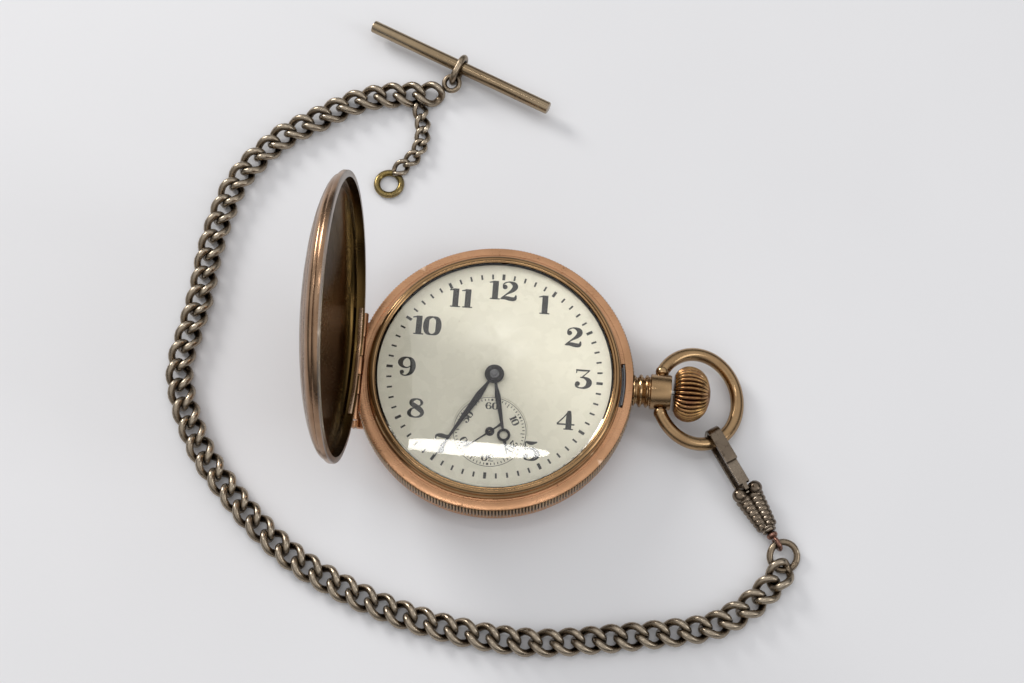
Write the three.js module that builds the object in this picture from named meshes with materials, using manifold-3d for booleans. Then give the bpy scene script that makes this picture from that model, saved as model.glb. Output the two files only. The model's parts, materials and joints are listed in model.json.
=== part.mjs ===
// A hunter-cased pocket watch lying open on a table, with its bow, swivel clasp, curb chain and T-bar.
// Millimetres. +X runs from the dial to the crown, +Y to twelve o'clock, +Z up through the dial.
// The origin is the centre of the flat on the back cover, which rests on the table.
import * as THREE from 'three';
import { mergeVertices } from 'three/addons/utils/BufferGeometryUtils.js';
import Module from 'manifold-3d';

const wasm = await Module();
wasm.setup();

// ---- driving dimensions: case ------------------------------------------------------------------
const caseRadius = 25;        // outside of the knurled band
const bandHeight = 4.15;      // back cover rim to front flange
const bandWall = 2.1;
const backDepth = 4.5;        // table to the back cover's rim
const backFlatRadius = 10;    // flat that the watch lies on
const lidDepth = 5.75;        // front cover, rim to crown of the dome
const lidOpenAngle = 93;      // degrees from shut to its stop
const shell = 0.5;            // sheet thickness of both covers
const rimWall = 1.2;          // thickness of the covers' rims
const rimHeight = 1.25;
const hingeRadius = 0.75;     // outside of the hinge knuckles
const hingeHalfLength = 10.2;
const pinRadius = 0.3;
const fit = 0.05;             // clearance between parts that touch or turn in each other

// ---- driving dimensions: dial and movement -----------------------------------------------------
const dialRise = 0.7;         // dial face above the flange
const dialThickness = 0.6;
const plateThickness = 1.4;
const bridgeThickness = 1.2;
const wheelSpace = 2.9;       // between the bridges and the pillar plate
const wheelThickness = 0.2;
const motionSpace = 1.2;      // between the pillar plate and the dial
const crystalThickness = 0.7;
const crystalRise = 1.0;
const secondsRadius = 7.0;
const pivotRadius = 0.18;
const meshGap = 0.06;         // tip circle to tip circle, so that turning wheels never touch

// ---- driving dimensions: pendant, crown and bow ------------------------------------------------
const stemHeight = 6.5;       // axis of the stem above the table
const neckLength = 3.15;
const neckRadius = 2.4;
const pendantLength = 3.7;
const pendantRadius = 3.2;
const crownRadius = 5.0;
const crownLength = 6.55;
const crownPush = 0.55;       // gap under the crown, which takes its push
const stemRadius = 0.5;
const bowWire = 1.2;          // radius
const bowHalfLength = 7.9;    // semi-axes of the bow's centre line
const bowHalfWidth = 8.5;
const bowDroop = 18.5;        // degrees that the bow hangs below the case

// ---- driving dimensions: chain side ------------------------------------------------------------
const claspAngle = -57.5;     // direction of the clasp on the table, degrees from +X
const claspWidth = 2.3;
const claspHeight = 5.3;
const claspWall = 0.75;
const claspPivot = 10.9;      // gate pin, from the bow wire
const claspEnd = 19.2;
const ringRadius = 2.5;       // centre line of the jump rings
const ringWire = 0.6;
const chainWidth = 5.4;
const chainHeight = 3.2;
const dropWidth = 2.6;
const dropHeight = 1.8;
const barRadius = 1.2;
const barLength = 38.3;
const barAngle = -23.4;       // direction of the T-bar on the table

// ---- places that follow ------------------------------------------------------------------------
const bandBottomZ = backDepth + fit;
const bandTopZ = bandBottomZ + bandHeight;
const boreRadius = caseRadius - bandWall;
const plateRadius = boreRadius - 1.5;
const layout = plateRadius / 21.4;      // the train is laid out to fill the plate
const lidRimZ = bandTopZ + fit;
const hingeX = -(caseRadius - 0.6);
const frontHingeZ = lidRimZ + 0.3;
const backHingeZ = backDepth - 0.25;
const ledgeTopZ = bandTopZ - 2.6;
const ledgeThickness = 0.6;
const dialTopZ = bandTopZ + dialRise;
const plateTopZ = dialTopZ - dialThickness - motionSpace;
const plateBottomZ = plateTopZ - plateThickness;
const bridgeTopZ = plateBottomZ - wheelSpace;
const bridgeBottomZ = bridgeTopZ - bridgeThickness;
const pendantX = caseRadius + fit;
const collarX = pendantX + neckLength;
const pendantEndX = collarX + pendantLength;
const bowPivotX = (collarX + pendantEndX) / 2 + 0.15;
const crownX = pendantEndX + crownPush;

// ---- shape helpers -----------------------------------------------------------------------------
const rad = THREE.MathUtils.degToRad;
const round = 32;             // facets of the large circles
const vec = (x, y, z) => new THREE.Vector3(x, y, z);

function polar(radius, degrees) {
  return new THREE.Vector2(radius * Math.cos(rad(degrees)), radius * Math.sin(rad(degrees)));
}

function closed(geometry) {
  // one indexed mesh of positions only, without the slivers that poles leave,
  // and with its faces outwards
  const bare = geometry.clone();
  bare.deleteAttribute('normal');
  bare.deleteAttribute('uv');
  const merged = mergeVertices(bare, 1e-4);
  const index = merged.index.array;
  const kept = [];
  for (let i = 0; i < index.length; i += 3) {
    const [a, b, c] = [index[i], index[i + 1], index[i + 2]];
    if (a !== b && b !== c && c !== a) kept.push(a, b, c);
  }
  merged.setIndex(kept);
  if (volume(merged) < 0) merged.setIndex(kept.reverse());
  return merged;
}

function volume(geometry) {
  const place = geometry.attributes.position;
  const index = geometry.index.array;
  const [a, b, c] = [new THREE.Vector3(), new THREE.Vector3(), new THREE.Vector3()];
  let sum = 0;
  for (let i = 0; i < index.length; i += 3) {
    a.fromBufferAttribute(place, index[i]);
    b.fromBufferAttribute(place, index[i + 1]);
    c.fromBufferAttribute(place, index[i + 2]);
    sum += a.dot(b.cross(c)) / 6;
  }
  return sum;
}

function toSolid(geometry) {
  const mesh = closed(geometry);
  const vertProperties = new Float32Array(mesh.attributes.position.array);
  const triVerts = new Uint32Array(mesh.index.array);
  return new wasm.Manifold(new wasm.Mesh({ numProp: 3, vertProperties, triVerts }));
}

function toGeometry(solid) {
  const mesh = solid.getMesh();
  const geometry = new THREE.BufferGeometry();
  geometry.setAttribute('position', new THREE.BufferAttribute(new Float32Array(mesh.vertProperties), 3));
  geometry.setIndex(new THREE.BufferAttribute(new Uint32Array(mesh.triVerts), 1));
  return geometry;
}

function join(...geometries) {
  return toGeometry(geometries.map(toSolid).reduce((whole, next) => whole.add(next)));
}

function cut(geometry, ...tools) {
  const solids = tools.map(toSolid);
  return toGeometry(solids.reduce((whole, tool) => whole.subtract(tool), toSolid(geometry)));
}

function lathe(profile, segments = round) {
  // profile of [radius, height] pairs, turned about Z
  const points = profile.map(([r, z]) => new THREE.Vector2(r, z));
  return closed(new THREE.LatheGeometry(points, segments).rotateX(Math.PI / 2));
}

function ringLathe(profile, segments) {
  return lathe([...profile, profile[0]], segments);
}

function alongX(geometry) {
  // turns a shape made about Z so that it lies about the stem's axis
  return geometry.rotateY(Math.PI / 2).translate(0, 0, stemHeight);
}

function disc(radius, z0, z1, x = 0, y = 0, segments = 20) {
  const geometry = new THREE.CylinderGeometry(radius, radius, z1 - z0, segments);
  return geometry.rotateX(Math.PI / 2).translate(x, y, (z0 + z1) / 2);
}

function rod(radius, from, to, segments = 12) {
  // a round rod between two points
  const span = new THREE.Vector3().subVectors(to, from);
  const geometry = new THREE.CylinderGeometry(radius, radius, span.length(), segments);
  const turn = new THREE.Quaternion().setFromUnitVectors(vec(0, 1, 0), span.clone().normalize());
  const middle = from.clone().add(to).multiplyScalar(0.5);
  return geometry.applyQuaternion(turn).translate(middle.x, middle.y, middle.z);
}

function block(x0, x1, y0, y1, z0, z1) {
  const geometry = new THREE.BoxGeometry(x1 - x0, y1 - y0, z1 - z0);
  return geometry.translate((x0 + x1) / 2, (y0 + y1) / 2, (z0 + z1) / 2);
}

function slab(points, z0, z1) {
  const shape = new THREE.Shape(points);
  return new THREE.ExtrudeGeometry(shape, { depth: z1 - z0, bevelEnabled: false }).translate(0, 0, z0);
}

function arcSlab(inner, outer, middle, halfSpan, z0, z1, steps) {
  const edge = (radius) => Array.from({ length: steps + 1 }, (_, i) => (
    polar(radius, middle - halfSpan + (2 * halfSpan * i) / steps)));
  return slab([...edge(outer), ...edge(inner).reverse()], z0, z1);
}

function dome(edgeRadius, edgeZ, topZ, power, steps) {
  // points from the edge to the axis, closer together near the edge
  const points = [];
  for (let i = 0; i <= steps; i++) {
    const share = 1 - (i / steps) ** 2;
    points.push([edgeRadius * share, topZ + (edgeZ - topZ) * share ** power]);
  }
  return points;
}

function toothed(teeth, tipRadius, depth, z0, z1, x = 0, y = 0) {
  const points = [];
  for (let i = 0; i < teeth * 2; i++) {
    const radius = i % 2 ? tipRadius - depth : tipRadius;
    points.push(polar(radius, (180 * i) / teeth));
  }
  return slab(points, z0, z1).translate(x, y, 0);
}

function tube(points, section, steps) {
  const path = new THREE.CatmullRomCurve3(points, false, 'centripetal');
  return new THREE.ExtrudeGeometry(section, { steps, extrudePath: path, bevelEnabled: false });
}

function ovalSection(halfHeight, halfWidth, sides = 8) {
  const points = [];
  for (let i = 0; i < sides; i++) {
    const angle = ((i + 0.5) * 2 * Math.PI) / sides;
    points.push(new THREE.Vector2(halfHeight * Math.cos(angle), halfWidth * Math.sin(angle)));
  }
  return new THREE.Shape(points);
}

function torus(radius, wire, around = 24, sides = 8) {
  return closed(new THREE.TorusGeometry(radius, wire, sides, around));
}

function spiral(inner, outer, turns, thickness, z0, z1, stepsPerTurn) {
  const steps = turns * stepsPerTurn;
  const edge = (offset) => Array.from({ length: steps + 1 }, (_, i) => {
    const radius = inner + ((outer - inner) * i) / steps + offset;
    return polar(radius, (360 * i) / stepsPerTurn);
  });
  return slab([...edge(thickness / 2), ...edge(-thickness / 2).reverse()], z0, z1);
}

// ---- scene graph -------------------------------------------------------------------------------
const watch = new THREE.Group();
const roseGold = { color: 0xb98a63, roughness: 0.28, metalness: 1 };
const paleGold = { color: 0xb79a6b, roughness: 0.3, metalness: 1 };
const brass = { color: 0xb08d4f, roughness: 0.35, metalness: 1 };
const steel = { color: 0x9a9a98, roughness: 0.25, metalness: 1 };
const blued = { color: 0x23252e, roughness: 0.3, metalness: 0.8 };
const nickel = { color: 0xc4c1b8, roughness: 0.3, metalness: 1 };
const enamel = { color: 0xe9e6d6, roughness: 0.25, metalness: 0 };
const glass = { color: 0xf2f4f2, roughness: 0.05, metalness: 0 };
const oldSilver = { color: 0x77695a, roughness: 0.4, metalness: 1 };

function add(name, geometry, look, parent = watch) {
  const mesh = new THREE.Mesh(geometry, new THREE.MeshStandardMaterial(look));
  mesh.name = name;
  parent.add(mesh);
  return mesh;
}

// ---- hinges ------------------------------------------------------------------------------------
const knuckleEnds = [-hingeHalfLength, -5.5, -1.8, 1.8, 5.5, hingeHalfLength];
const frontOwners = ['cover', 'band', 'cover', 'band', 'cover'];
const backOwners = ['cover', 'band', 'inner', 'band', 'cover'];

function knuckles(owners, owner, z, radius = hingeRadius, gap = fit) {
  const rods = [];
  owners.forEach((name, i) => {
    if (name !== owner) return;
    const from = vec(hingeX, knuckleEnds[i] + gap, z);
    const to = vec(hingeX, knuckleEnds[i + 1] - gap, z);
    rods.push(rod(radius, from, to, 14));
  });
  return rods;
}

function others(owners, owner, z) {
  // room for the knuckles that belong to the neighbours
  return [...new Set(owners)].filter((name) => name !== owner)
    .flatMap((name) => knuckles(owners, name, z, hingeRadius + 2 * fit, -fit));
}

function pinHole(z, radius = pinRadius + fit) {
  const reach = hingeHalfLength + 1;
  return rod(radius, vec(hingeX, -reach, z), vec(hingeX, reach, z), 10);
}

function hingePlate(z0, z1, innerRadius) {
  // bridges the gap between a straight hinge and a round rim
  const halfLength = hingeHalfLength - fit;
  const plate = block(hingeX - 0.2, -innerRadius * 0.8, -halfLength, halfLength, z0, z1);
  return cut(plate, disc(innerRadius, z0 - 1, z1 + 1, 0, 0, round));
}

function hingePin(name, z) {
  const reach = hingeHalfLength;
  add(name, rod(pinRadius, vec(hingeX, -reach, z), vec(hingeX, reach, z), 10), steel);
}

// ---- case band with its hinge knuckles, ledge, stem hole and catch slot ------------------------
// the lock spring's lip stands between the bezel and the cover's rim
const lipRadius = caseRadius - 1.8;
const lipThickness = 0.35;
const slotHalfSpan = 10.3;              // degrees
const stemHole = stemRadius + 0.2;

function stemWay() {
  const from = vec(plateRadius - 2, 0, stemHeight);
  return rod(stemHole, from, vec(caseRadius + 1, 0, stemHeight), 14);
}

function caseBand() {
  const ledgeRadius = plateRadius - 0.8;
  const flangeRadius = plateRadius + 0.5;
  const ring = ringLathe([
    [caseRadius, bandBottomZ],
    [caseRadius, bandTopZ - 0.15],
    [caseRadius - 0.15, bandTopZ],
    [flangeRadius, bandTopZ],
    [flangeRadius, bandTopZ - 0.7],
    [boreRadius, bandTopZ - 0.7],
    [boreRadius, ledgeTopZ],
    [ledgeRadius, ledgeTopZ],
    [ledgeRadius, ledgeTopZ - ledgeThickness],
    [boreRadius, ledgeTopZ - ledgeThickness],
    [boreRadius, bandBottomZ],
  ]);
  const slotOuter = lipRadius + lipThickness + 0.1;
  const slot = arcSlab(plateRadius, slotOuter, 0, slotHalfSpan, bandTopZ - 1.9, bandTopZ + 1, 6);
  return cut(
    join(
      ring,
      ...knuckles(frontOwners, 'band', frontHingeZ),
      ...knuckles(backOwners, 'band', backHingeZ),
    ),
    stemWay(),
    slot,
    pinHole(frontHingeZ),
    pinHole(backHingeZ),
    ...others(frontOwners, 'band', frontHingeZ),
    ...others(backOwners, 'band', backHingeZ),
  );
}

add('case_band', caseBand(), roseGold);
hingePin('front_hinge_pin', frontHingeZ);
hingePin('back_hinge_pin', backHingeZ);

// ---- front cover, shown open -------------------------------------------------------------------
function frontCover() {
  const inner = caseRadius - rimWall - fit;
  const shoulder = caseRadius - 0.8;
  const dish = lathe([
    ...dome(shoulder, lidRimZ + rimHeight + 0.5, lidRimZ + lidDepth, 2.8, 5).reverse(),
    [shoulder + 0.1, lidRimZ + rimHeight + 0.15],
    [caseRadius - fit, lidRimZ + rimHeight],
    [caseRadius - fit, lidRimZ],
    [inner, lidRimZ],
    ...dome(inner, lidRimZ + rimHeight + 0.35, lidRimZ + lidDepth - shell, 3, 4),
  ]);
  const plate = hingePlate(frontHingeZ - 0.1, frontHingeZ + hingeRadius, inner);
  const whole = join(dish, plate, ...knuckles(frontOwners, 'cover', frontHingeZ));
  return cut(whole, pinHole(frontHingeZ), ...others(frontOwners, 'cover', frontHingeZ));
}

const lidHinge = new THREE.Group();
lidHinge.position.set(hingeX, 0, frontHingeZ);
lidHinge.rotation.y = -rad(lidOpenAngle);
watch.add(lidHinge);
add('front_cover', frontCover().translate(-hingeX, 0, -frontHingeZ), roseGold, lidHinge);

// ---- back cover and the inner dust cover -------------------------------------------------------
const strapHalf = knuckleEnds[3] - fit;    // the inner cover's strap passes over the back cover's rim

function backCover() {
  const inner = caseRadius - rimWall;
  const shoulder = caseRadius - 0.8;
  const outside = dome(shoulder, backDepth - rimHeight - 0.4, 0, 8, 6)
    .filter(([r]) => r > backFlatRadius);
  const inside = dome(inner - 0.2, backDepth - rimHeight - 0.2, shell, 8.5, 5);
  const dish = lathe([
    [0, 0],
    [backFlatRadius, 0],
    ...outside.reverse(),
    [caseRadius - fit, backDepth - rimHeight],
    [caseRadius - fit, backDepth],
    [inner, backDepth],
    ...inside,
  ]);
  const plate = hingePlate(backHingeZ - hingeRadius, backHingeZ + 0.1, inner);
  const whole = join(dish, plate, ...knuckles(backOwners, 'cover', backHingeZ));
  const roomHalf = strapHalf + fit;
  const strapRoom = block(hingeX, -inner + 1, -roomHalf, roomHalf, backHingeZ - 0.6, backHingeZ + 1);
  return cut(whole, pinHole(backHingeZ), strapRoom, ...others(backOwners, 'cover', backHingeZ));
}

add('back_cover', backCover(), roseGold);

const innerCoverRadius = boreRadius - 0.2;
const innerCoverZ = 1.05;
const innerShell = 0.4;
const innerRimZ = stemHeight - stemRadius - 0.7;     // the rim passes under the stem
const innerBend = innerCoverRadius / 1.3;            // sharpness of the turn up to the rim

function innerCover() {
  const inner = innerCoverRadius - innerShell;
  const edgeZ = bandBottomZ - 0.6;
  const dish = lathe([
    ...dome(innerCoverRadius, edgeZ, innerCoverZ, innerBend, 5).reverse(),
    [innerCoverRadius, innerRimZ],
    [inner, innerRimZ],
    ...dome(inner, edgeZ, innerCoverZ + innerShell, innerBend, 5),
  ]);
  const strapEnd = -innerCoverRadius + 0.3;
  const strap = block(hingeX, strapEnd, -strapHalf, strapHalf, backHingeZ - 0.4, backHingeZ + 0.2);
  const whole = join(dish, strap, ...knuckles(backOwners, 'inner', backHingeZ));
  return cut(whole, pinHole(backHingeZ));
}

add('inner_cover', innerCover(), paleGold);

// ---- bezel and crystal -------------------------------------------------------------------------
const bezelBottomZ = bandTopZ + fit;
const bezelRadius = caseRadius - 2.1;
const seatZ = dialTopZ + 0.9;
const sightRadius = plateRadius - 0.35;

add('bezel', ringLathe([
  [plateRadius + 0.2, bezelBottomZ],
  [bezelRadius, bezelBottomZ],
  [bezelRadius + 0.05, bezelBottomZ + 0.85],
  [bezelRadius - 0.45, bezelBottomZ + 1.6],
  [sightRadius + 0.75, seatZ + 0.7],
  [sightRadius + 0.4, seatZ + 0.6],
  [sightRadius + 0.35, seatZ],
  [sightRadius, seatZ - 0.1],
  [sightRadius, seatZ - 0.4],
  [plateRadius + 0.2, seatZ - 0.6],
]), roseGold);

const crystalRadius = sightRadius + 0.3;
add('crystal', lathe([
  ...dome(crystalRadius, seatZ + 0.45, seatZ + crystalRise + crystalThickness, 2, 4).reverse(),
  [crystalRadius, seatZ + fit],
  ...dome(crystalRadius - 0.4, seatZ + fit, seatZ + crystalRise, 2, 4),
]), glass);

// ---- springs inside the band -------------------------------------------------------------------
const springRadius = plateRadius + 0.7;
const springThickness = 0.4;
const springZ = ledgeTopZ + 0.2;
const springTopZ = bandTopZ - 1.0;

function bandSpring(middle, halfSpan) {
  const outer = springRadius + springThickness;
  return arcSlab(springRadius, outer, middle, halfSpan, springZ, springTopZ, 10);
}

function lockSpring() {
  const span = slotHalfSpan - 0.8;
  const foot = bandTopZ - 1.75;
  const lip = arcSlab(lipRadius, lipRadius + lipThickness, 0, span, foot, bandTopZ + 0.35, 6);
  const arm = arcSlab(springRadius + 0.1, lipRadius + 0.2, 0, span, foot, foot + 0.65, 6);
  return cut(join(bandSpring(0, 38), arm, lip), stemWay());
}

add('lock_spring', lockSpring(), steel);
add('fly_spring', bandSpring(180, 40), steel);

// ---- pendant, sleeve, crown and stem -----------------------------------------------------------
const pendantBore = 2.0;

function pendant() {
  const bead = neckLength / 2;
  const body = alongX(ringLathe([
    [neckRadius + 0.3, pendantX],
    [neckRadius + 0.3, pendantX + 0.3],
    [neckRadius, pendantX + 0.6],
    [neckRadius + 0.6, pendantX + bead - 0.35],
    [neckRadius + 0.6, pendantX + bead],
    [neckRadius, pendantX + bead + 0.45],
    [neckRadius + 0.6, collarX - 0.75],
    [neckRadius + 0.6, collarX - 0.45],
    [neckRadius + 0.3, collarX - 0.15],
    [pendantRadius, collarX],
    [pendantRadius, pendantEndX],
    [pendantBore, pendantEndX],
    [pendantBore, pendantX + 1],
    [stemHole, pendantX + 1],
    [stemHole, pendantX],
  ], 20));
  const side = pendantRadius + 1;
  const pinWay = rod(0.8, vec(bowPivotX, -side, stemHeight),
    vec(bowPivotX, side, stemHeight), 14);
  return cut(body, pinWay);
}

add('pendant', pendant(), paleGold);
add('pendant_sleeve', alongX(ringLathe([
  [pendantBore - fit, pendantX + 1 + fit],
  [pendantBore - fit, bowPivotX - 0.95],
  [stemHole, bowPivotX - 0.95],
  [stemHole, pendantX + 1 + fit],
], 16)), steel);

const crownFlutes = 22;
const crownSkirt = crownRadius * 0.74;
const crownEnd = crownX + crownLength;
const crownOutline = new THREE.SplineCurve([
  new THREE.Vector2(crownSkirt, crownX),
  new THREE.Vector2(crownRadius - 0.25, crownX + crownLength * 0.27),
  new THREE.Vector2(crownRadius, crownX + crownLength * 0.5),
  new THREE.Vector2(crownRadius - 0.65, crownX + crownLength * 0.78),
  new THREE.Vector2(crownRadius - 2.2, crownEnd),
]).getPoints(7).map((point) => [point.x, point.y]);
add('crown', alongX(lathe([
  [0, crownX + 1],
  [stemRadius + 1.3, crownX + 1],
  [stemRadius + 1.3, crownX],
  ...crownOutline,
  [0, crownEnd],
], crownFlutes)), roseGold);

const pinionStartX = plateRadius * 0.58;
const pinionLength = 2.0;
const windingRadius = 1.5;
const stemStartX = pinionStartX - 0.4;
add('stem', join(
  rod(stemRadius, vec(stemStartX, 0, stemHeight), vec(crownX + 0.95, 0, stemHeight)),
  alongX(toothed(12, windingRadius, 0.3, pinionStartX, pinionStartX + pinionLength)),
), steel);
const leverX = pinionStartX + 3;
add('setting_lever', block(leverX, leverX + 2.5, 1.0, 3.6, plateTopZ + 0.1, plateTopZ + 0.5), steel);

// ---- train layout ------------------------------------------------------------------------------
const at = (v) => [v.x, v.y];
const centreWheelRadius = 7.0 * layout;
const pinionRadius = 0.9;
const fourthPinionRadius = 0.8;
const escapePinionRadius = 0.55;
const fourthWheelRadius = 5.2 * layout;
const escapeWheelRadius = 3.4 * layout;
const barrelRadius = 8.3 * layout;
const balanceRadius = 6.2 * layout;
const ratchetRadius = 4.4 * layout;
const crownWheelRadius = 4.0 * layout;
const thirdPlace = polar(centreWheelRadius + pinionRadius + meshGap, -130);
const fourthPlace = new THREE.Vector2(0, -10.7 * layout);
const thirdWheelRadius = thirdPlace.distanceTo(fourthPlace) - fourthPinionRadius - meshGap;
const escapePlace = polar(fourthWheelRadius + escapePinionRadius + meshGap, -10).add(fourthPlace);
const barrelPlace = polar(barrelRadius + pinionRadius + meshGap, 80);
const crownWheelPlace = polar(ratchetRadius + crownWheelRadius + meshGap, -20).add(barrelPlace);
const balancePlace = polar(11.55 * layout, -23.5);
const towardsBalance = balancePlace.clone().sub(escapePlace).normalize();
const palletPlace = escapePlace.clone().addScaledVector(towardsBalance, escapeWheelRadius + 0.8);
const cannonRadius = 1.4;
const minutePinionRadius = 1.2;
const minuteWheelRadius = 3.94;
const hourWheelRadius = cannonRadius + minuteWheelRadius - minutePinionRadius;
const minutePlace = polar(cannonRadius + minuteWheelRadius + meshGap, 150);
const pillarRadius = 1.1;
const pillarOrbit = plateRadius - 2.8;
const screwOrbit = plateRadius - 1.4;
const screwAngles = [65, 245];

const level = (height) => bridgeTopZ + height;   // heights inside the wheel space
const arborBottomZ = bridgeTopZ - 0.7;
const arborTopZ = plateBottomZ + 0.7;

function arbor(place, radius = 0.35) {
  return join(
    disc(radius, level(0.1), plateBottomZ - 0.1, ...at(place), 10),
    disc(pivotRadius, arborBottomZ, arborTopZ, ...at(place), 8),
  );
}

function pivotHole(place, z0, z1, radius = pivotRadius + fit) {
  return disc(radius, z0, z1, ...at(place), 8);
}

// ---- plates and bridges ------------------------------------------------------------------------
const centrePlace = new THREE.Vector2(0, 0);
const centreHole = 1.1;

function pillarPlate() {
  const below = plateBottomZ - 1;
  const above = plateTopZ + 1;
  const blind = plateBottomZ + 0.8;
  const pivots = [thirdPlace, escapePlace, palletPlace, balancePlace];
  return cut(
    disc(plateRadius, plateBottomZ, plateTopZ, 0, 0, round),
    block(stemStartX - crownPush, plateRadius + 1, -1.9, 1.9, below, above),
    ...screwAngles.map((angle) => disc(0.5, below, above, ...at(polar(screwOrbit, angle)), 10)),
    disc(centreHole, below, above, 0, 0, 16),
    disc(0.45, below, above, ...at(fourthPlace), 10),
    disc(0.35, plateTopZ - 0.8, above, ...at(minutePlace), 10),
    ...pivots.map((place) => pivotHole(place, below, blind)),
    disc(0.6, below, blind, ...at(barrelPlace), 12),
  );
}

add('pillar_plate', pillarPlate(), nickel);

function bridgeOutline(lowY, highY) {
  // the part of the plate's disc between two straight edges
  const radius = plateRadius - 1.9;
  const steps = 30;
  const points = [];
  for (let i = 0; i < steps; i++) {
    const point = polar(radius, (360 * i) / steps);
    point.y = THREE.MathUtils.clamp(point.y, lowY, highY);
    points.push(point);
  }
  return points;
}

const cockAngle = -23.5;
const cockFoot = plateRadius - 3.1;
const cockReach = plateRadius - 1.6;
const cockHalfWidth = 2.8;

function cockCorner(radius, side) {
  const along = polar(1, cockAngle);
  const across = new THREE.Vector2(-along.y, along.x);
  return along.multiplyScalar(radius).addScaledVector(across, side);
}

const belowBridge = bridgeBottomZ - 1;
const aboveBridge = bridgeTopZ + 1;
const cockSides = [cockAngle - 24, cockAngle + 85].map((angle) => polar(2 * plateRadius, angle));
const cockRoom = slab([balancePlace, ...cockSides], belowBridge, aboveBridge);
const balanceRoom = disc(balanceRadius + 0.6, belowBridge, aboveBridge, ...at(balancePlace), 26);
const bridgeSplitY = 1.0;
const barrelPillars = [40, 130];
const trainPillars = [195, 255];
const screwSpot = (angle) => polar(pillarOrbit - 2.0, angle);

function pillars(angles) {
  return angles.map((angle) => {
    const place = polar(pillarOrbit, angle);
    return disc(pillarRadius, bridgeTopZ - 0.2, plateBottomZ - fit, ...at(place), 12);
  });
}

function bridgeHole(radius, place, bottom = belowBridge) {
  return disc(radius, bottom, aboveBridge - 0.1, ...at(place), 12);
}

function barrelBridge() {
  const body = slab(bridgeOutline(bridgeSplitY + 0.2, plateRadius), bridgeBottomZ, bridgeTopZ);
  return cut(
    join(body, ...pillars(barrelPillars)),
    balanceRoom,
    bridgeHole(0.65, barrelPlace),
    bridgeHole(0.65, crownWheelPlace),
    ...barrelPillars.map((angle) => bridgeHole(0.5, screwSpot(angle))),
  );
}

function trainBridge() {
  const body = slab(bridgeOutline(-plateRadius, bridgeSplitY - 0.2), bridgeBottomZ, bridgeTopZ);
  const blind = bridgeTopZ - 0.8;
  const pivots = [centrePlace, thirdPlace, fourthPlace, escapePlace];
  return cut(
    join(body, ...pillars(trainPillars)),
    balanceRoom,
    cockRoom,
    ...pivots.map((place) => pivotHole(place, blind, aboveBridge)),
    ...trainPillars.map((angle) => bridgeHole(0.5, screwSpot(angle))),
  );
}

add('barrel_bridge', barrelBridge(), nickel);
add('train_bridge', trainBridge(), nickel);

function screw(name, headRadius, headBottomZ, headTopZ, shankTopZ, place) {
  const head = disc(headRadius, headBottomZ, headTopZ, ...at(place), 14);
  const shank = disc(0.4, headTopZ - 0.1, shankTopZ, ...at(place), 10);
  const cutHalf = 0.15;
  const slot = block(place.x - headRadius - 1, place.x + headRadius + 1,
    place.y - cutHalf, place.y + cutHalf, headBottomZ - 1, headBottomZ + cutHalf);
  add(name, cut(join(head, shank), slot), blued);
}

[...barrelPillars, ...trainPillars].forEach((angle, i) => {
  const headTopZ = bridgeBottomZ - fit;
  const name = `bridge_screw_${i + 1}`;
  screw(name, 0.85, headTopZ - 0.35, headTopZ, bridgeTopZ - 0.1, screwSpot(angle));
});
screwAngles.forEach((angle, i) => {
  const headTopZ = ledgeTopZ - ledgeThickness - fit;
  const name = `case_screw_${i + 1}`;
  screw(name, 1.2, headTopZ - 0.5, headTopZ, plateTopZ - 0.4, polar(screwOrbit, angle));
});

// ---- balance, its cock, hairspring and regulator -----------------------------------------------
const cockBottomZ = bridgeBottomZ - 0.25;
const cockTopZ = cockBottomZ + 0.6;
const balanceZ = cockTopZ + 0.4;
const balanceHeight = 0.5;

function balanceCock() {
  const head = disc(2.0, cockBottomZ, cockTopZ, ...at(balancePlace), 18);
  const start = balancePlace.length();
  const arm = slab([
    cockCorner(start, -1.6),
    cockCorner(cockFoot, -cockHalfWidth),
    cockCorner(cockFoot, cockHalfWidth),
    cockCorner(start, 1.6),
  ], cockBottomZ, cockTopZ);
  const heel = slab([
    cockCorner(cockFoot - fit, -cockHalfWidth),
    cockCorner(cockReach, -cockHalfWidth),
    cockCorner(cockReach, cockHalfWidth),
    cockCorner(cockFoot - fit, cockHalfWidth),
  ], cockTopZ - 0.3, plateBottomZ - fit);
  return cut(join(head, arm, heel), pivotHole(balancePlace, cockTopZ - 0.4, cockTopZ + 1));
}

add('balance_cock', balanceCock(), nickel);

function balanceWheel() {
  const rim = ringLathe([
    [balanceRadius, balanceZ],
    [balanceRadius, balanceZ + balanceHeight],
    [balanceRadius - 0.8, balanceZ + balanceHeight],
    [balanceRadius - 0.8, balanceZ],
  ], 26);
  const reach = balanceRadius - 0.4;
  const bar = block(-reach, reach, -0.45, 0.45, balanceZ + 0.1, balanceZ + 0.4);
  const wheel = join(rim, bar).rotateZ(rad(35)).translate(balancePlace.x, balancePlace.y, 0);
  const staff = disc(0.3, cockTopZ + 0.1, plateBottomZ - 0.1, ...at(balancePlace), 10);
  const pivots = disc(pivotRadius, cockTopZ - 0.3, plateBottomZ + 0.7, ...at(balancePlace), 8);
  const roller = disc(1.2, plateBottomZ - 1.2, plateBottomZ - 0.9, ...at(balancePlace), 16);
  return join(wheel, staff, pivots, roller);
}

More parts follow.
